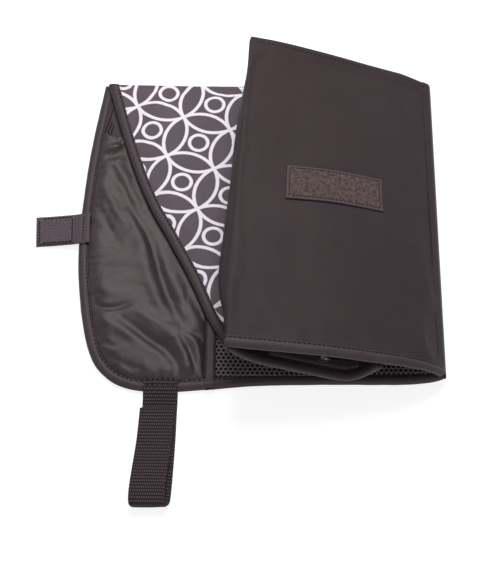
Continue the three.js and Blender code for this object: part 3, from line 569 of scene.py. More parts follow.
COVER_END, FOLD_END, PANEL_END = 12, 20, 39
FINE = 4
HINGE_Z = 6.5
COVER_LINES = [share_curve([HALF_WIDTH, HINGE_Z], reach, shares, COVER_END * FINE + 1) for reach, shares in (
    ([-188.0, 68.5], [
        [0.008, 0.05], [0.07, 0.255], [0.18, 0.44], [0.31, 0.585], [0.531, 0.762], [0.829, 0.918], [1, 1],
    ]),
    ([-170.5, 69.7], [
        [0.008, 0.04], [0.1085, 0.156], [0.314, 0.362], [0.583, 0.648], [0.846, 0.898], [1, 1],
    ]),
)]
SWELL_SHARES = catmull(np.array([
    [0, 0.16], [0.05, 0.22], [0.11, 0.45], [0.17, 0.8], [0.24, 0.97], [0.3, 0.97], [0.47, 0.8], [0.64, 0.63],
    [0.82, 0.36], [0.9, 0.14], [1, 0.14],
]), np.linspace(0, 1, 73))
FOLD_SWELL, FOLD_DROP_ENDS, FOLD_DROP_MORE = 13.5, 9, 25
# The pocket panel's control points, as shares of its reach, and its curves: first and last control, steps
PANEL_LOW_POINT = np.array([50.0, 8.4])
PANEL_SHARES = np.array([
    [0, 0], [0.075, 0.33], [0.2388, 0.502], [0.664, 0.94], [0.73, 1.01], [0.81, 1.045], [0.92, 0.66],
    [1, 0.4],
])
PANEL_CURVES = (0, 3, 4), (2, 4, 6), (3, 7, 8), (6, 8, 1)
LINING_GAP = 4.4


def under_cover(line):
    """Keeps the pocket panel's stretch of the line below the cover's lining."""
    way = unit(np.gradient(line, axis=0))[:COVER_END * FINE + 1]
    inward = np.stack([-way[:, 1], way[:, 0]], -1)
    ceiling = line[:COVER_END * FINE + 1] + inward * (PANEL + GAP + LINING_GAP)
    ceiling = ceiling[ceiling[:, 0].argsort()]
    panel = line[(FOLD_END + 3) * FINE:]
    panel[:, 1] = np.minimum(panel[:, 1], np.interp(panel[:, 0], *ceiling.T))


def skin_outline(y):
    """Fine points (x, z) of the skin at one y, and the normals into its thickness."""
    share = (y + HALF_LENGTH) / (2 * HALF_LENGTH)
    inner_share = min(max(share, 0), 1)
    weight = np.array([share, max(share, 0) ** 2.5])
    cover = COVER_LINES[0] * (1 - weight) + COVER_LINES[1] * weight
    swell = FOLD_SWELL * np.interp(inner_share, *SWELL_SHARES.T)
    drop = FOLD_DROP_ENDS + FOLD_DROP_MORE * math.sin(math.pi * inner_share)
    angle = np.linspace(0, math.pi, (FOLD_END - COVER_END) * FINE + 1)[1:]
    fold = cover[-1] + np.stack([-swell * np.sin(angle), -drop / 2 * (1 - np.cos(angle))], -1)
    controls = fold[-1] + (PANEL_LOW_POINT - fold[-1]) * PANEL_SHARES
    panel = [bezier(controls[first:last], np.linspace(0, 1, steps * FINE + 1)[1:])
             for first, last, steps in PANEL_CURVES]
    line = np.concatenate([cover, fold, *panel])
    under_cover(line)
    for _ in range(5):
        line[1:-1] = (line[:-2] + 2 * line[1:-1] + line[2:]) / 4
    way = unit(np.gradient(line, axis=0))
    return line, np.stack([-way[:, 1], way[:, 0]], -1)


OUTLINES = {}


def skin(steps, ys, depth):
    """Points on the skin: depth is a number or a (step, y) grid, in mm, inwards."""
    steps, ys = np.asarray(steps, float), np.asarray(ys, float)
    depth = np.broadcast_to(depth, (len(steps), len(ys)))
    columns = []
    index = np.arange(PANEL_END * FINE + 1) / FINE
    for j, y in enumerate(ys):
        key = round(float(y), 3)
        if key not in OUTLINES:
            OUTLINES[key] = skin_outline(y)
        place, normal = (on_line(steps, index, line) for line in OUTLINES[key])
        place += unit(normal) * depth[:, j, None]
        columns.append(np.insert(place, 1, y, axis=1))
    out = np.stack(columns, 1)
    # the padded back edge stands out a little, and the front corner at the spine is drawn back
    out[..., 1] += 4.6 * np.outer(np.interp(steps, [0, 0.6, 2, 12.5, 17], [0, 0.35, 1, 1, 0]),
                                  clamp((ys - 96) / 62) ** 1.5)
    out[..., 1] += 5.5 * np.outer(clamp(1 - steps / 5) ** 1.5, clamp((-116 - ys) / 42) ** 1.5)
    return out


def skin_run(steps):
    """Distance along the skin's middle line at each step."""
    return run_along(skin(steps, [0.0], 0)[:, 0])


def skin_path(steps, y, depth):
    """A path across the skin and its outward normals, for stitches."""
    line = skin(steps, [y], depth)[:, 0]
    return line, line - skin(steps, [y], depth + 1.0)[:, 0]


def skin_thickness(steps):
    return np.interp(steps, [0, 11, 12.5, 14, 18, 20.5, 22, 38, 39],
                     [PANEL, PANEL, 3.4, 1.6, 1.6, 2.6, 3.8, 3.8, 3.4])


# Cover, pocket panel and loop patch


def build_cover():
    steps = np.concatenate([
        np.linspace(*stretch) for stretch in ((0.12, 12, 61), (12.25, 20, 32), (20.25, 38.6, 74))])
    near, edge = np.array([0, 0.35, 0.9, 1.8, 3.2, 5.2, 8.0]), HALF_LENGTH - 0.4
    inner = np.linspace(12 - edge, edge - 12, int((2 * edge - 24) / 3.2))
    ys = np.concatenate([near - edge, inner, (edge - near)[::-1]])
    run = skin_run(steps)
    thick = skin_thickness(steps)[:, None]
    from_edge = np.minimum(ys + HALF_LENGTH, HALF_LENGTH - ys)
    full = rounding(from_edge)
    middle = skin(steps, ys, 0)
    calm = clamp(from_edge / 22) * clamp(run / 25)[:, None]
    soft = (ripple(middle, 62, 1.5, 3) + ripple(middle, 24, 0.45, 9)) * calm
    upper = skin(steps, ys, thick / 2 * (1 - full) + soft)
    lower = skin(steps, ys, thick / 2 * (1 + full) + soft * 0.6)
    held = (from_edge < TAPE) | (run < 6)[:, None] | (steps > COVER_END)[:, None]
    faces = grid_faces(len(steps), len(ys)).tolist()
    moved = relax_cloth(upper.reshape(-1, 3), faces, held.ravel(), 2.0, 0.002, 1.0)
    shell = slab("cover_shell", moved.reshape(upper.shape), lower, grid_uv(run, ys), ["shell", "lining"])
    dress(shell, "cover", "shell", "cover_outer", "cover_padding", "cover_lining", "pocket_panel_outer",
          "pocket_panel_padding", "pocket_panel_lining")


# The skin's edge tape in section: (reach inwards, lift, share of the skin's thickness)
SKIN_TAPE = [
    (TAPE, -0.2, 0), (TAPE - 0.4, -0.75, 0), (TAPE - 1.0, -0.85, 0), (TAPE - 1.8, -0.1, 0),
    (TAPE - 2.6, -0.9, 0), (4, -1.0, 0), (1.2, -0.7, 0), (-0.2, 0.2, 0), (-0.6, 0.5, 0.5), (-0.2, -0.2, 1),
    (1.2, 0.6, 1), (4, 0.9, 1), (TAPE - 2.6, 0.85, 1), (TAPE - 1.8, 0.2, 1), (TAPE - 1.0, 0.8, 1),
    (TAPE, 0.3, 1),
]


def skin_tape(name, first, last, count, nodes):
    """Tape folded round the skin's front edge between two steps."""
    steps = np.linspace(first, last, count)
    rings = []
    for reach, lift, share in SKIN_TAPE:
        y = reach - HALF_LENGTH
        spot = skin(steps, [y], 0)[:, 0]
        depth = lift + skin_thickness(steps) * share + ripple(spot, 9, 0.2, 5) + ripple(spot, 3.5, 0.2, 2)
        rings.append(skin(steps, [y], depth[:, None])[:, 0])
    across = np.linspace(0, 2 * TAPE + PANEL, len(rings))
    tape = tube(name, np.stack(rings, 1), grid_uv(skin_run(steps), across)[..., ::-1], "binding")
    dress(tape, "cover", "binding", *nodes)


def build_cover_trim():
    skin_tape("cover_edge_tape", 0.15, 20, 130, ["cover_front_binding", "fold_front_binding"])
    skin_tape("pocket_panel_edge_tape", 20, 38.4, 120, ["pocket_panel_binding"])
    front, back = SEAM_INSET - HALF_LENGTH, HALF_LENGTH - 5.5
    panel = np.linspace(20.5, 38, 120)
    for name, paths in (
        ("cover_hem_stitches", [skin_path(np.linspace(0.3, 19.5, 160), front, -0.75)]),
        ("pocket_panel_stitches", [skin_path(panel, front, -0.75), skin_path(panel, front, 3.8 + 0.75)]),
        ("cover_back_stitches", [skin_path(np.linspace(0.3, 12, 100), back, -0.1)]),
    ):
        stitches(name, paths, "cover")


def patch_bow(steps):
    """How far the patch's far end bows forward."""
    return 2.2 * clamp((steps - 6.3) / 3.1) ** 1.5


def on_patch(steps, ys, depth):
    grid = skin(steps, ys, depth)
    grid[..., 1] -= patch_bow(np.asarray(steps))[:, None]
    return grid


def build_loop_patch():
    low, high, near = -7.0, 27.5, np.array([0, 0.3, 0.9, 2.2, 2.7])
    steps = np.concatenate([
        [3.72, 3.74, 3.78, 3.87, 3.9], np.linspace(3.98, 9.16, 50), [9.24, 9.27, 9.36, 9.4, 9.42]])
    ys = np.concatenate([low + near, np.linspace(low + 3.5, high - 3.5, 26), (high - near)[::-1]])
    from_ends, from_sides = (np.minimum(np.arange(n), np.arange(n)[::-1]) for n in (len(steps), len(ys)))
    edge = np.minimum(from_ends[:, None], from_sides)
    lift = np.interp(edge, [0, 1, 2, 3, 4, 5, 6], [-0.35, -0.95, -1.1, -1.05, -0.75, -1.25, -1.45])
    fluff = ripple(skin(steps, ys, 0), 1.6, 0.35, 2) * (edge > 4)
    upper, lower = (on_patch(steps, ys, depth) for depth in (lift - np.abs(fluff), -0.05))
    uv = grid_uv(skin_run(steps), ys)
    patch = slab("cover_loop_patch_pile", upper, lower, uv, ["loop_tape", "selvage"])
    cells = np.minimum(np.minimum(edge[:-1, :-1], edge[1:, :-1]), np.minimum(edge[:-1, 1:], edge[1:, 1:]))
    slots = np.zeros(len(patch.data.polygons), np.int32)
    slots[:cells.size] = (cells < 3).ravel()
    patch.data.polygons.foreach_set("material_index", slots)
    dress(patch, "cover", "loop_tape", "cover_loop_patch")
    first, last, bottom, top = 3.895, 9.245, low + 2.6, high - 2.6
    rows = [(np.linspace(first, last, 60), [y]) for y in (bottom, top)]
    rows += [([step], np.linspace(bottom, top, 30)) for step in (first, last)]
    paths = []
    for steps, ys in rows:
        line, deeper = (on_patch(steps, ys, depth).reshape(-1, 3) for depth in (-1.2, -0.2))
        paths.append((line, line - deeper))
    stitches("loop_patch_stitches", paths, "cover", pitch=3.6, length=2.4, radius=0.42)


# Flat panels


def turned_in(line, closed=False):
    """The sum of both neighbouring sides' normals at each point, to the line's left, where the panel is."""
    step = np.diff(line, axis=0)
    before, after = np.vstack([step[:1], step]), np.vstack([step, step[-1:]])
    if closed:
        before, after = line - np.roll(line, 1, axis=0), np.roll(line, -1, axis=0) - line
    turn = unit(before) + unit(after)
    return np.stack([-turn[:, 1], turn[:, 0]], -1)


def inset_line(line, reach):
    return line + unit(turned_in(line)) * reach


def outline_of(plan, pitch):
    """A closed plan's outline as evenly spaced points that keep its corners."""
    out = []
    for a, b in zip(plan, np.roll(plan, -1, axis=0)):
        count = max(1, int(round(np.linalg.norm(b - a) / pitch)))
        out += [a + (b - a) * k / count for k in range(count)]
    return np.array(out)


def distance_to(points, outline):
    best = np.full(len(points), 1e9)
    for start, end in zip(outline, np.roll(outline, -1, axis=0)):
        side = end - start
        t = clamp(((points - start) @ side) / max(side @ side, 1e-9))
        best = np.minimum(best, np.linalg.norm(points - start - t[:, None] * side, axis=1))
    return best


def inside(points, outline):
    x, y = points[:, 0], points[:, 1]
    result = np.zeros(len(points), bool)
    for (ax, ay), (bx, by) in zip(outline, np.roll(outline, -1, axis=0)):
        if ay != by:
            result ^= ((ay > y) != (by > y)) & (x < (bx - ax) * (y - ay) / (by - ay) + ax)
    return result


def plan_mesh(plan, pitch, rings=(0.35, 0.9, 1.8, 3.2, 5.2, 8.0), edge_pitch=3.0):
    """Triangles over a plan: points, faces, and each point's distance from the edge."""
    edge = outline_of(np.asarray(plan, float), edge_pitch)
    low, high = edge.min(0), edge.max(0)
    xs, ys = np.arange(low[0], high[0], pitch), np.arange(low[1], high[1], pitch * 0.866)
    lattice = np.array([(x + (pitch / 2 if j % 2 else 0), y) for j, y in enumerate(ys) for x in xs])
    lattice = lattice[inside(lattice, edge)]
    clear = max(rings) + pitch * 0.6 if rings else pitch * 0.5
    parts = [edge, lattice[distance_to(lattice, edge) > clear]]
    inward = unit(turned_in(edge, closed=True))
    for ring in rings:
        moved = edge + inward * ring
        moved = moved[inside(moved, edge)]
        parts.append(moved[distance_to(moved, edge) > ring * 0.93])
    points = np.concatenate(parts)
    sides = [(i, (i + 1) % len(edge)) for i in range(len(edge))]
    made = delaunay_2d_cdt([Vector(p) for p in points], sides, [], 1, 1e-5)
    flat = np.array([tuple(p) for p in made[0]])
    return flat, [tuple(f) for f in made[2]], distance_to(flat, edge)


def pillow(name, flat, faces, away, top, bottom, materials, uv=None):
    """A closed pillow over a plan mesh: top and bottom are heights at each point and meet at the edge. Its
    underside has the last material."""
    count, free = len(flat), away >= ON_EDGE
    lower = np.arange(count)
    lower[free] = count + np.arange(free.sum())
    under = [tuple(int(lower[i]) for i in reversed(face)) for face in faces]
    points = np.concatenate([np.column_stack([flat, top]), np.column_stack([flat, bottom])[free]])
    slots = [0] * len(faces) + [len(materials) - 1] * len(under)
    uv = flat if uv is None else uv
    return add_mesh(name, points, faces + under, np.concatenate([uv, uv[free]]), materials, slots)


def padded_panel(name, plan, body, *nodes, swell=0.0):
    """A padded panel that lies on the table, with soft swells on its rounded top."""
    flat, faces, away = plan_mesh(plan, 7)
    half = PANEL / 2 * rounding(away)
    soft = ripple(at_height(flat, 0), 45, swell, 1) * clamp(away / 20)
    panel = pillow(name, flat, faces, away, PANEL / 2 + half + soft, PANEL / 2 - half, ["lining", "shell"])
    dress(panel, body, "shell", *nodes)


def flat_tape(name, line, where, nodes=(), thickness=PANEL, bottom=0.0, width=TAPE, lift=0.75, limit_y=None):
    """Tape folded round a flat edge: line is the edge's points (x, y), with the panel on its left."""
    inward = turned_in(line)
    inward *= (2 / np.clip(np.sum(inward**2, axis=1), 0.5, 4))[:, None]
    top = bottom + thickness
    crest = top + lift
    profile = [
        (width, top + 0.1), (width - 0.4, crest), (width - 1.0, crest + 0.1), (width - 1.8, crest - 0.6),
        (width - 2.6, crest + 0.1), (4.2, crest + 0.2), (1.4, crest - 0.2), (-0.1, top - 0.9),
        (-0.5, bottom + thickness / 2), (-0.1, bottom + 0.9), (1.4, bottom + 0.05), (width, bottom),
        (width, bottom + 0.4),
    ]
    rings = []
    for k, (reach, height) in enumerate(profile):
        place = at_height(line + inward * reach, height)
        if 0 < k < 7:
            place[:, 2] += ripple(place, 7, 0.3, 4) + ripple(place, 3.2, 0.22, 8)
        place[:, :2] += inward * (ripple(place, 14, 0.35, 6) * (0.6 if 0 < k < 12 else 1.0))[:, None]
        if limit_y is not None:
            place[:, 1] = np.minimum(place[:, 1], limit_y)
        rings.append(place)
    across = np.linspace(0, 2 * width + thickness, len(rings))
    uv = grid_uv(run_along(line), across)[..., ::-1]
    dress(tube(name, np.stack(rings, 1)[:, ::-1], uv, "binding"), where, "binding", *nodes)


def flat_path(line, height):
    return at_height(line, height), (0, 0, 1)


def seam_path(edge):
    """The path of the stitches through a flat panel's edge tape."""
    return flat_path(inset_line(edge, SEAM_INSET), PANEL + THREAD_LIFT)


BACK_FRONT = smooth_curve([
    [-99, -163], [-61, -159.3], [0, -157.6], [60, -157.2], [84, -155.4], [96, -152.8], [101, -150.5],
], 70)
BACK_FAR = [101.0, HALF_LENGTH], [-99.0, HALF_LENGTH]


def build_back_panel():
    plan = np.vstack([BACK_FRONT[:-1:2], BACK_FRONT[-1:], BACK_FAR])
    padded_panel("back_panel", plan, "base", "back_panel_outer", "back_panel_board", "back_panel_lining",
                 swell=0.18)
    far = even(BACK_FAR, 70)
    flat_tape("back_panel_front_tape", BACK_FRONT, "base", ["back_panel_front_binding"])
    flat_tape("back_panel_back_tape", far, "base", ["back_panel_back_binding"])
    stitches("back_panel_stitches", [seam_path(BACK_FRONT), seam_path(far)], "base")


def build_mesh_pocket():
    left, right, mouth, low = -97.0, 91.0, 61.0, PANEL + 0.35
    plan = [left, -153], [right, -148.7], [right, mouth], [left, mouth]
    flat, faces, away = plan_mesh(plan, 5, rings=(1, 3))
    wave = np.abs(ripple(at_height(flat, 0), 30, 0.5, 8) * clamp(away / 12))
    top, bottom = low + 0.9 + wave, low + wave
    top[away < ON_EDGE] = bottom[away < ON_EDGE] = low + 0.4
    pocket = pillow("mesh_pocket_net", flat, faces, away, top, bottom, ["mesh"])
    dress(pocket, "base", "mesh", "mesh_pocket")
    line = even([[right, mouth + TAPE], [left, mouth + TAPE]], 60)
    flat_tape("mesh_pocket_mouth_tape", line, "base", ["mesh_pocket_elastic"], thickness=1.0, bottom=low,
              width=8.5, lift=0.3)


# Flap and the fold beside it

FLAP_EDGE = share_curve([-HALF_WIDTH, 0], [-120.5, HALF_LENGTH], [
    [0.875, 0.995], [0.963, 0.46], [1, -0.12], [0.957, -0.52], [0.87, -0.82], [0.745, -0.965], [0.56, -1.036],
    [0.3, -1.05], [0.025, -1.034],
], 160)
FLAP_RIGHT = -105.0
FLAP_BACK, FLAP_FRONT = [FLAP_RIGHT, HALF_LENGTH], [FLAP_RIGHT, FLAP_EDGE[-1, 1]]
FOLD_LEFT, FOLD_RIGHT = -105.2, -98.8
DIVIDER_BEND = flap_bend(3.5, 5)


def build_flap():
    padded_panel("flap_panel", np.vstack([FLAP_BACK, FLAP_EDGE[::3], FLAP_FRONT]), "flap", "flap_outer",
                 "flap_padding", "flap_lining")
    line = np.vstack([even([FLAP_BACK, FLAP_EDGE[0]], 30)[:-1], FLAP_EDGE, FLAP_FRONT])
    flat_tape("flap_edge_tape", line, "flap", ["flap_binding"], limit_y=HALF_LENGTH + 0.3)
    stitches("flap_edge_stitches", [seam_path(FLAP_EDGE)], "flap")
    # The first row, nearly unbroken, is a dark cord along the binding's inner edge: a painted shadow of the
    # gap there. The two shorter rows beside it are bar-tack stitches.
    corner = smooth_curve([(-199.4, 130.5), (-200.6, 122), (-202.6, 113), (-205.4, 103)], 30)
    shadow_line_and_tacks = [corner] + [corner[12:] + np.array([shift, -2.0 * shift]) for shift in (1.9, 3.8)]
    stitches("pocket_corner_shadow_line_and_tacks", [flat_path(line, PANEL + 1.5) for line in shadow_line_and_tacks], "flap", pitch=4.6,
             length=4.2, radius=0.5)
    strip = [FOLD_LEFT, -165.6], [FOLD_RIGHT, -163.6], [FOLD_RIGHT, HALF_LENGTH], [FOLD_LEFT, HALF_LENGTH]
    flat, faces, away = plan_mesh(strip, 3, rings=())
    top, bottom = (np.where(away < ON_EDGE, PANEL - 0.6, height) for height in (PANEL - 0.2, 0.0))
    web = pillow("flap_fold_web", flat, faces, away, top, bottom, ["shell"])
    dress(web, flap_bend(3.2, 3), "shell", "flap_fold_cloth")


def build_divider():
    xs = np.array([-106.6, -106.1, -105.0, -103.6, -102, -100.4, -99.0, -97.9, -97.4])
    lift = np.array([0, 0.9, 1.2, 1.3, 1.35, 1.3, 1.2, 0.9, 0])
    ys = np.linspace(-HALF_LENGTH, 149, 130)
    lower = np.stack(np.broadcast_arrays(xs[None, :], ys[:, None], PANEL + 0.15), -1)
    upper = lower.copy()
    upper[..., 2] += 0.05 + lift
    upper[..., 2] += ripple(upper, 6, 0.25, 7) * (lift > 0)
    upper[:3, :, 2] = np.minimum(upper[:3, :, 2], np.array([5.3, 5.5, 6.0])[:, None])
    tape = slab("divider_tape", upper[:, ::-1], lower[:, ::-1], grid_uv(ys, xs[::-1])[..., ::-1], ["binding"])
    dress(tape, DIVIDER_BEND, "binding", "divider_binding")
    for name, ends, rise in (
        ("fold_front_tape", [[-106.5, -163.5], [-97.5, -163.0]], 1.0),
        ("fold_back_tape", [[-97.5, HALF_LENGTH], [-106.5, HALF_LENGTH]], 0.8),
    ):
        flat_tape(name, even(ends, 12), DIVIDER_BEND, lift=rise)
    path = even([[FOLD_LEFT, -155.0], [FOLD_LEFT, 148.0]], 100)
    for name, shift, body in (("divider_stitches", 0, "flap"), ("divider_stitches_right", 6.4, "base")):
        stitches(name, [flat_path(path + np.array([shift, 0]), PANEL + 1.5)], body)


# Changing pad and nylon pocket

PAD_BOTTOM, PAD_TOP = 6.2, 10.8
PAD_BACK_Y, PAD_FRONT_Y, PAD_CORNER_X, PAD_FRONT_X, PAD_RIGHT_X = 155.5, -122.0, -204.0, -90.0, -10.0
# The pad's slack left edge, from its front corner to its back corner
PAD_EDGE = share_curve([PAD_FRONT_X, PAD_FRONT_Y], [PAD_CORNER_X - PAD_FRONT_X, PAD_BACK_Y - PAD_FRONT_Y], [
    [0, 0], [0.123, 0.083], [0.272, 0.227], [0.456, 0.378], [0.643, 0.531], [0.817, 0.73], [1, 1],
], 150)
PAD_BEND = flap_bend(5.2, 8)

# Folds of the nylon pocket: width, height (below 0 in a valley), then the x and y of each point of its line
POCKET_FOLDS = [
    (6.0, -3.6, -168, 20, -158, -14, -148, -50, -136, -84, -126, -106),
    (7.5, 2.0, -178, 10, -167, -24, -157, -60, -143, -92, -131, -112),
    (8.0, 1.8, -152, 30, -143, -8, -134, -46, -124, -78),
    (7.0, -2.6, -139, 22, -131, -18, -122, -52, -113, -84),
    (4.5, -2.2, -198, 62, -184, 34, -170, 4, -158, -22),
    (5.0, 1.8, -190, 64, -176, 36, -163, 8, -152, -16),
    (5.0, 1.6, -206, 44, -192, 18, -178, -12),
    (4.0, -1.4, -209, 22, -198, 0, -184, -26),
    (5.0, -1.8, -181, 70, -172, 54, -160, 30),
    (6.0, 1.6, -172, 74, -163, 56, -150, 40),
    (3.4, -2.4, -208, -74, -200, -86, -186, -87, -172, -82),
    (6.0, 1.4, -206, -62, -190, -72, -172, -70),
    (2.6, -1.6, -202, -116, -194, -122, -184, -126),
    (7.0, 2.2, -206, -96, -188, -103, -168, -116, -146, -132),
    (6.5, -3.6, -184, -98, -172, -106, -156, -118, -140, -130, -131, -142, -129, -156),
    (7.5, 2.4, -170, -88, -154, -98, -138, -112, -125, -132, -121, -152),
    (3.2, -2.6, -129, -116, -121, -128, -115, -144, -113, -157),
    (2.8, 2.2, -124, -112, -115, -122, -110, -136, -108, -154),
    (2.8, -2.4, -118, -110, -109, -118, -105, -134),
    (4.5, -1.4, -196, -130, -176, -143, -156, -150),
    (2.2, 2.6, -207, 79, -197, 82.5, -186, 88.5),
    (4.6, -2.6, -204, 73, -194, 75, -184, 80),
    (3.6, -1.8, -203, 88, -195, 91, -188, 95),
]
POCKET_MOUTH = [(-107.0, 62), (-150, 82), (-188, 98)]
HEM_DROP = 9.0


def beside_pad(places, margin=0.0):
    """How far to the left of the pad's edge each place lies."""
    return np.interp(places[..., 1], PAD_EDGE[:, 1], PAD_EDGE[:, 0]) - margin - places[..., 0]


def pocket_height(flat):
    height = np.zeros(len(flat))
    for width, rise, *points in POCKET_FOLDS:
        line = smooth_curve(np.reshape(points, (-1, 2)), 60, fine=60)
        gaps = np.linalg.norm(flat[:, None, :] - line[None, :, :], axis=2)
        share = gaps.argmin(1) / (len(line) - 1)
        taper = np.sin(np.pi * clamp(share * 0.94 + 0.03)) ** 0.6
        height += rise * np.exp(-((gaps.min(1) / width) ** 2) * 1.5) * taper
    return height


def build_nylon_pocket():
    inner = inset_line(FLAP_EDGE, TAPE - 0.5)
    inner = inner[(inner[:, 1] < 104) & (inner[:, 0] < -108)]
    mouth = [p for p in POCKET_MOUTH if p[0] > inner[0, 0] + 4]
    plan = np.vstack([inner[::4], [[POCKET_MOUTH[0][0], inner[-1, 1]]], mouth])
    flat, faces, away = plan_mesh(plan, 2.3, rings=(0.8, 2.0), edge_pitch=2.5)
    spot = at_height(flat, 0)
    slope = np.interp(flat[:, 1], [-110, -60, 40, 90], [7, 18, 18, 8])
    free = clamp(beside_pad(flat, 1) / slope)
    free = free * free * (3 - 2 * free)
    rise = np.sin(clamp(away / 13) * math.pi / 2)
    along = np.linalg.norm(flat[:, None, :] - inner[None, :, :], axis=2).argmin(1) * 2.0
    tucks = ripple(np.column_stack([along / 3.2, away / 14, 0 * away]), 1.0, 1.5, 4)
    tucks *= np.exp(-away / 7) * (away > 0.5)
    fine = ripple(spot, 17, 0.7, 3) + ripple(spot, 6, 0.22, 5)
    height = PANEL + 0.7 + free * (rise * (3.4 + pocket_height(flat) + fine) + tucks)
    points = np.column_stack([flat, np.maximum(height, PANEL + 0.5)])
    points = relax_cloth(points, faces, (away < ON_EDGE) | (free < 0.02), 0.5, 0.0035, 1.2, bending=3.0)
    height = np.maximum(points[:, 2], PANEL + 0.5)
    top, bottom = (np.where(away < ON_EDGE, PANEL + 0.6, height + side) for side in (0.3, -0.2))
    cloth = pillow("nylon_pocket_skin", points[:, :2], faces, away, top, bottom, ["nylon"], uv=flat)
    dress(cloth, "flap", "nylon", "nylon_pocket")
    line = even(mouth[::-1] + POCKET_MOUTH[:1], 50)[:44]
    share, lift = np.array([
        (0, 0.0), (0.02, 0.5), (0.3, 0.8), (0.7, 0.8), (0.8, 0.35), (0.9, 0.7), (1, 0.1)]).T[..., None]
    hem = inset_line(line, -HEM_DROP)
    upper = np.stack([at_height(line * (1 - t) + hem * t, PANEL + 0.9 + h) for t, h in zip(share, lift)])
    shade = clamp(beside_pad(upper) / 12)
    upper[..., 2] += ripple(upper, 8, 0.5, 3) * shade + 1.2 * shade
    lower = upper - np.array([0, 0, 0.4])
    uv = grid_uv(share[:, 0] * HEM_DROP, 2.2 * np.arange(len(line)))
    band = slab("nylon_pocket_hem_band", upper[::-1], lower[::-1], uv[::-1], ["nylon"])
    dress(band, "flap", "nylon", "nylon_pocket_hem")


def build_pad():
    corner = [PAD_RIGHT_X, PAD_FRONT_Y]
    plan = np.vstack([corner, [PAD_RIGHT_X, PAD_BACK_Y - 3.4], PAD_EDGE[::-6], PAD_EDGE[:1]])
    flat, faces, away = plan_mesh(plan, 5)
    spot = at_height(flat, 0)
    puff = (ripple(spot, 38, 0.9, 2) + ripple(spot, 15, 0.3, 6)) * clamp(away / 18)
    middle, half = (PAD_BOTTOM + PAD_TOP) / 2, (PAD_TOP - PAD_BOTTOM) / 2 * rounding(away)
    top = at_height(flat, middle + half + np.maximum(puff, -0.6))
    top = relax_cloth(top, faces, away < TAPE, 4.0, 0.006, 2.0)[:, 2]
    top -= 0.8 * clamp((TAPE + 0.4 - away) / 1.5) * clamp(away / 4)
    pad = pillow("changing_pad", flat, faces, away, top, middle - half, ["print", "lining"])
    dress(pad, PAD_BEND, "print", "pad_print_main", "pad_foam_main", "pad_backing_main", "pad_print_corner",
          "pad_foam_corner", "pad_backing_corner", "pad_fold_bridge")
    front = even([PAD_EDGE[0], corner], 40)
    right = even([corner, [PAD_RIGHT_X, PAD_BACK_Y - 4]], 90)
    flat_tape("changing_pad_tape", np.vstack([PAD_EDGE[::-1], front[1:], right[1:]]), PAD_BEND,
              ["pad_binding_main", "pad_binding_corner"], bottom=PAD_BOTTOM, limit_y=PAD_BACK_Y - 1.0)
    seam = inset_line(PAD_EDGE[::-1], SEAM_INSET)
    seam = seam[seam[:, 1] < PAD_BACK_Y - 4]
    stitches("changing_pad_stitches", [flat_path(seam, PAD_TOP + THREAD_LIFT)], PAD_BEND)


# Wrist strap and closing tab

# A strip's section, as shares of its width and thickness
RIBBON_PROFILE = np.array([
    (-0.5, 0), (-0.47, 0.42), (-0.4, 0.5), (-0.2, 0.5), (0, 0.5), (0.2, 0.5), (0.3, 0.5), (0.4, 0.5),
    (0.47, 0.42), (0.5, 0), (0.47, -0.42), (0.4, -0.5), (0.3, -0.5), (0.2, -0.5), (0, -0.5), (-0.4, -0.5),
    (-0.47, -0.42),
])
STRAP_X, STRAP_WIDTH, STRAP_THICKNESS, STRAP_LOWER_RUN = -144.0, 30, 1.5, 118.0
# The strap's middle line from its seam to its free end, as (shift from STRAP_X, y, z)
STRAP_LOWER = [
    (0, -154.5, 6.3), (0, -160, 6.35), (0, -165.0, 6.1), (0, -170.5, 3.6), (-0.1, -177, 1.3),
    (-0.3, -184, 0.8), (-0.9, -215, 0.8), (-1.9, -242, 0.8), (-3.0, -262, 0.9), (-3.8, -268.5, 1.6),
    (-5.0, -272.4, 4.0), (-6.2, -273.2, 6.6),
]
STRAP_FREE = [
    (-6.2, -273.2, 6.6), (-7.2, -272.6, 9.2), (-7.8, -269.5, 11.0), (-7.8, -262, 11.4), (-7.0, -250, 10.3),
    (-5.8, -236, 7.8), (-4.5, -222, 5.6), (-3.6, -212, 4.8), (-2.6, -196, 4.7), (-2.0, -182.6, 4.7),
]
# The tab's middle line, from its seam to its end
TAB_LINE = [
    (-213.4, -3.7, 6.2), (-215.6, -3.9, 7.0), (-218, -4.2, 6.2), (-219.6, -4.4, 6.0), (-221.8, -4.6, 6.9),
    (-223.6, -4.7, 6.3), (-229, -4.8, 5.1), (-238, -4.9, 3.7), (-248, -5.1, 2.4), (-257, -5.2, 1.4),
    (-262.6, -5.3, 0.8),
]


def frames_along(points, side=(1, 0, 0)):
    """The path's points, and the side and up directions at each, with up square to the path and the side."""
    side = np.broadcast_to(np.asarray(side, float), points.shape)
    return np.stack([points, side, unit(np.cross(side, unit(np.gradient(points, axis=0))))])


def ribbon(name, frames, width, thickness, material, where, *nodes, slot=None, uv_start=0.0, curl=0.0):
    """A flat strip with soft edges along frames of (centre, side, up); curl lifts its right edge."""
    centres, sides, ups = frames[:, :, None]
    share, height = RIBBON_PROFILE.T
    rise = height * thickness + np.broadcast_to(curl, len(centres))[:, None] * clamp(share) ** 2 * 4
    rings = centres + sides * share[:, None] * width + ups * rise[..., None]
    uv = grid_uv(run_along(frames[0]) + uv_start, share * width)[..., ::-1]
    dress(tube(name, rings, uv, material), where, slot or material, *nodes)


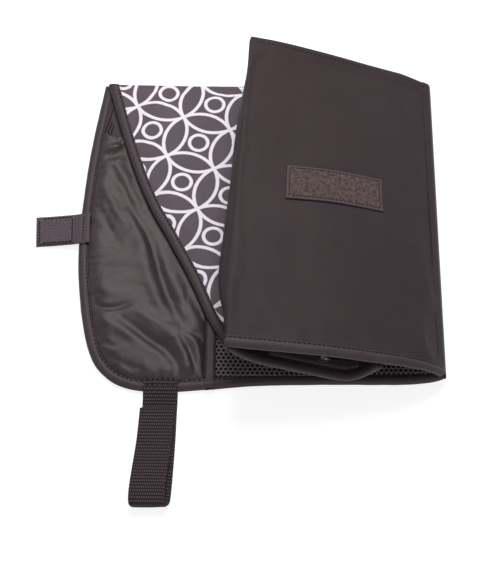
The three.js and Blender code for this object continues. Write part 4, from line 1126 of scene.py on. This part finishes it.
def build_strap():
    origin = np.array([STRAP_X, 0, 0])
    path = smooth_curve(origin + STRAP_LOWER, 110)
    curl = -1.2 * clamp((-205 - path[:, 1]) / 45)
    seam = bend("flap", "strap", (STRAP_X, -164.5, 6), (STRAP_X, -168.0, 6))
    ribbon("wrist_strap", frames_along(path), STRAP_WIDTH, STRAP_THICKNESS, "webbing", seam, "strap_anchor",
           "strap_webbing", curl=curl)
    path = smooth_curve(origin + STRAP_FREE, 90)
    turn = bend("strap", "strap_end", (-151, -272.2, 9), (-151, -266.0, 9))
    ribbon("wrist_strap_free_end", frames_along(path), STRAP_WIDTH, STRAP_THICKNESS, "webbing", turn,
           "strap_free_end", uv_start=STRAP_LOWER_RUN)
    for name, node, body, z, slot, shift in (
        ("strap_loop_pile", "strap_loop_pad", "strap", 2.1, "loop_tape", -1.9),
        ("strap_hook_tape", "strap_hook_pad", "strap_end", 3.2, "hook_tape", -2.0),
    ):
        path = smooth_curve(origin + [(shift - 0.6, -214, z), (shift, -200, z), (shift + 0.6, -185, z)], 12)
        ribbon(name, frames_along(path), 26, 0.9, slot, body, node)
    rows = [(even([[STRAP_X - 13.5, y, z], [STRAP_X + 13.5, y, z]], 20), (0, 0, 1))
            for y, z in ((-156.0, 7.25), (-161.5, 7.3))]
    stitches("strap_seam_stitches", rows, "flap", pitch=4.4, length=2.6, radius=0.65)


def build_tab():
    path = smooth_curve(TAB_LINE, 110)
    lean = np.interp(path[:, 0], [-262, -222, -214], [-0.059, -0.033, -0.028])
    frames = frames_along(path, np.column_stack([lean, np.ones(len(path)), 0 * lean]))
    seam = bend("flap", "tab", (-221.2, 0, 6), (-224.0, 0, 6))
    ribbon("closing_tab", frames, 31.6, 1.3, "tab_cloth", seam, "tab_anchor", "tab_cloth", slot="hook_tape")
    centres, sides, ups = frames[:, (path[:, 0] > -260.6) & (path[:, 0] < -227.8)]
    ribbon("closing_tab_hook_tape", frames_along(centres + ups * 1.1, sides), 28.4, 1.0, "hook_tape", "tab",
           "tab_hook_tape")
    border, top = 12.8, 1.85
    centres, sides, ups = frames[:, (path[:, 0] > -259.4) & (path[:, 0] < -229.0)]
    rows = [(centres + sides * border * way + ups * top, ups) for way in (-1, 1)]
    for k in (0, -1):
        across = np.linspace(-1, 1, 20)[:, None]
        rows.append((centres[k] + sides[k] * border * across + ups[k] * top, ups[k]))
    stitches("closing_tab_stitches", rows, "tab", pitch=3.4, length=2.6, radius=0.55)
    rows = [(even([[x, -18, z], [x, 10, z]], 20), (0, 0, 1)) for x, z in ((-219.7, 6.7), (-213.9, 6.9))]
    stitches("closing_tab_seam_stitches", rows, "flap", pitch=3.4, length=2.6, radius=0.6)


# Spine and zip


def build_spine():
    """The cloth that runs from under the back panel up into the cover's outer skin."""
    ys = np.linspace(-157.6, 157.6, 80)
    over = skin(np.linspace(0.14, 0.5, 6), ys, np.linspace(-0.3, 0.25, 6)[:, None])
    count = 12
    upper = np.zeros((count + len(over), len(ys), 3))
    for j, end in enumerate(over[0]):
        near = end + unit(end - over[1, j]) * 3.0
        line = bezier([(100.2, 0.3), (102.9, 0.3), (103.0, 2.2), near[[0, 2]], end[[0, 2]]],
                      np.linspace(0, 1, count + 1))[:-1]
        upper[:count, j] = np.column_stack([line[:, 0], np.full(count, max(end[1], -150.8)), line[:, 1]])
    upper[count:] = over
    inward = np.interp(np.arange(len(upper)), [0, 2, count, len(upper) - 1], [0.6, 0.9, 0.9, 0.1])
    way = unit(np.gradient(upper, axis=0))
    lower = upper + np.stack([-way[..., 2], 0 * way[..., 1], way[..., 0]], -1) * inward[:, None, None]
    cloth = slab("spine_fold_cloth", upper, lower, grid_uv(np.arange(len(upper)) * 1.2, ys), ["shell"])
    dress(cloth, bend("base", "cover", (102, 0, 1), (102, 0, 9)), "shell", "spine_cloth")


def build_zip():
    middle, tooth_pitch, tooth_depth = -141.0, 1.6, 5.35
    steps = np.linspace(24, 36, 140)
    run = skin_run(steps)
    across = np.array([-8, -7.6, -4, -0.4, 0.4, 4, 7.6, 8])
    lift = np.array([[3.9, 4.6, 4.7, 4.7, 4.7, 4.7, 4.6, 3.9]])
    ys = middle + across
    tape = slab("zip_tape_cloth", skin(steps, ys, 3.85), skin(steps, ys, lift), grid_uv(run, ys), ["binding"])
    dress(tape, "cover", "binding", "zip_tape")
    places = []
    for side in (-1, 1):
        for k in range(int((run[-1] - 2) / tooth_pitch)):
            step = np.interp((k + (0.5 if side > 0 else 0)) * tooth_pitch + 1, run, steps)
            centre, ahead = skin([step, step + 0.05], [middle + side * 0.75], tooth_depth)[:, 0]
            ahead = unit(ahead - centre)
            places.append((centre, np.array([0, 0.95, 0]), ahead * 0.55, np.cross((0, 1.0, 0), ahead) * 0.6))
    dress(rods("zip_teeth", places, [(-1, 1), (1, 1)], 8, "coil"), "cover", "zip_coil", "zip_coil_front",
          "zip_coil_back")
    for name, body, width in (("zip_slider", "zip_slider", 0.35), ("zip_pull", "zip_pull", 0.2),
                              ("zip_stop_left", "cover", 0.25), ("zip_stop_right", "cover", 0.25)):
        part = add_object(name + "_metal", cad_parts[name].data.copy())
        part.data.materials.clear()
        part.data.materials.append(MATERIALS["metal"])
        bevel = part.modifiers.new("bevel", "BEVEL")
        bevel.width, bevel.segments, bevel.limit_method = width * MM, 3, "ANGLE"
        dress(part, body, "zip_metal", name)


make_camera()
make_studio()
MATERIALS = make_materials()
for build_piece in (
    build_back_panel, build_mesh_pocket, build_flap, build_divider, build_nylon_pocket, build_pad,
    build_cover, build_cover_trim, build_loop_patch, build_strap, build_tab, build_spine, build_zip,
):
    build_piece()
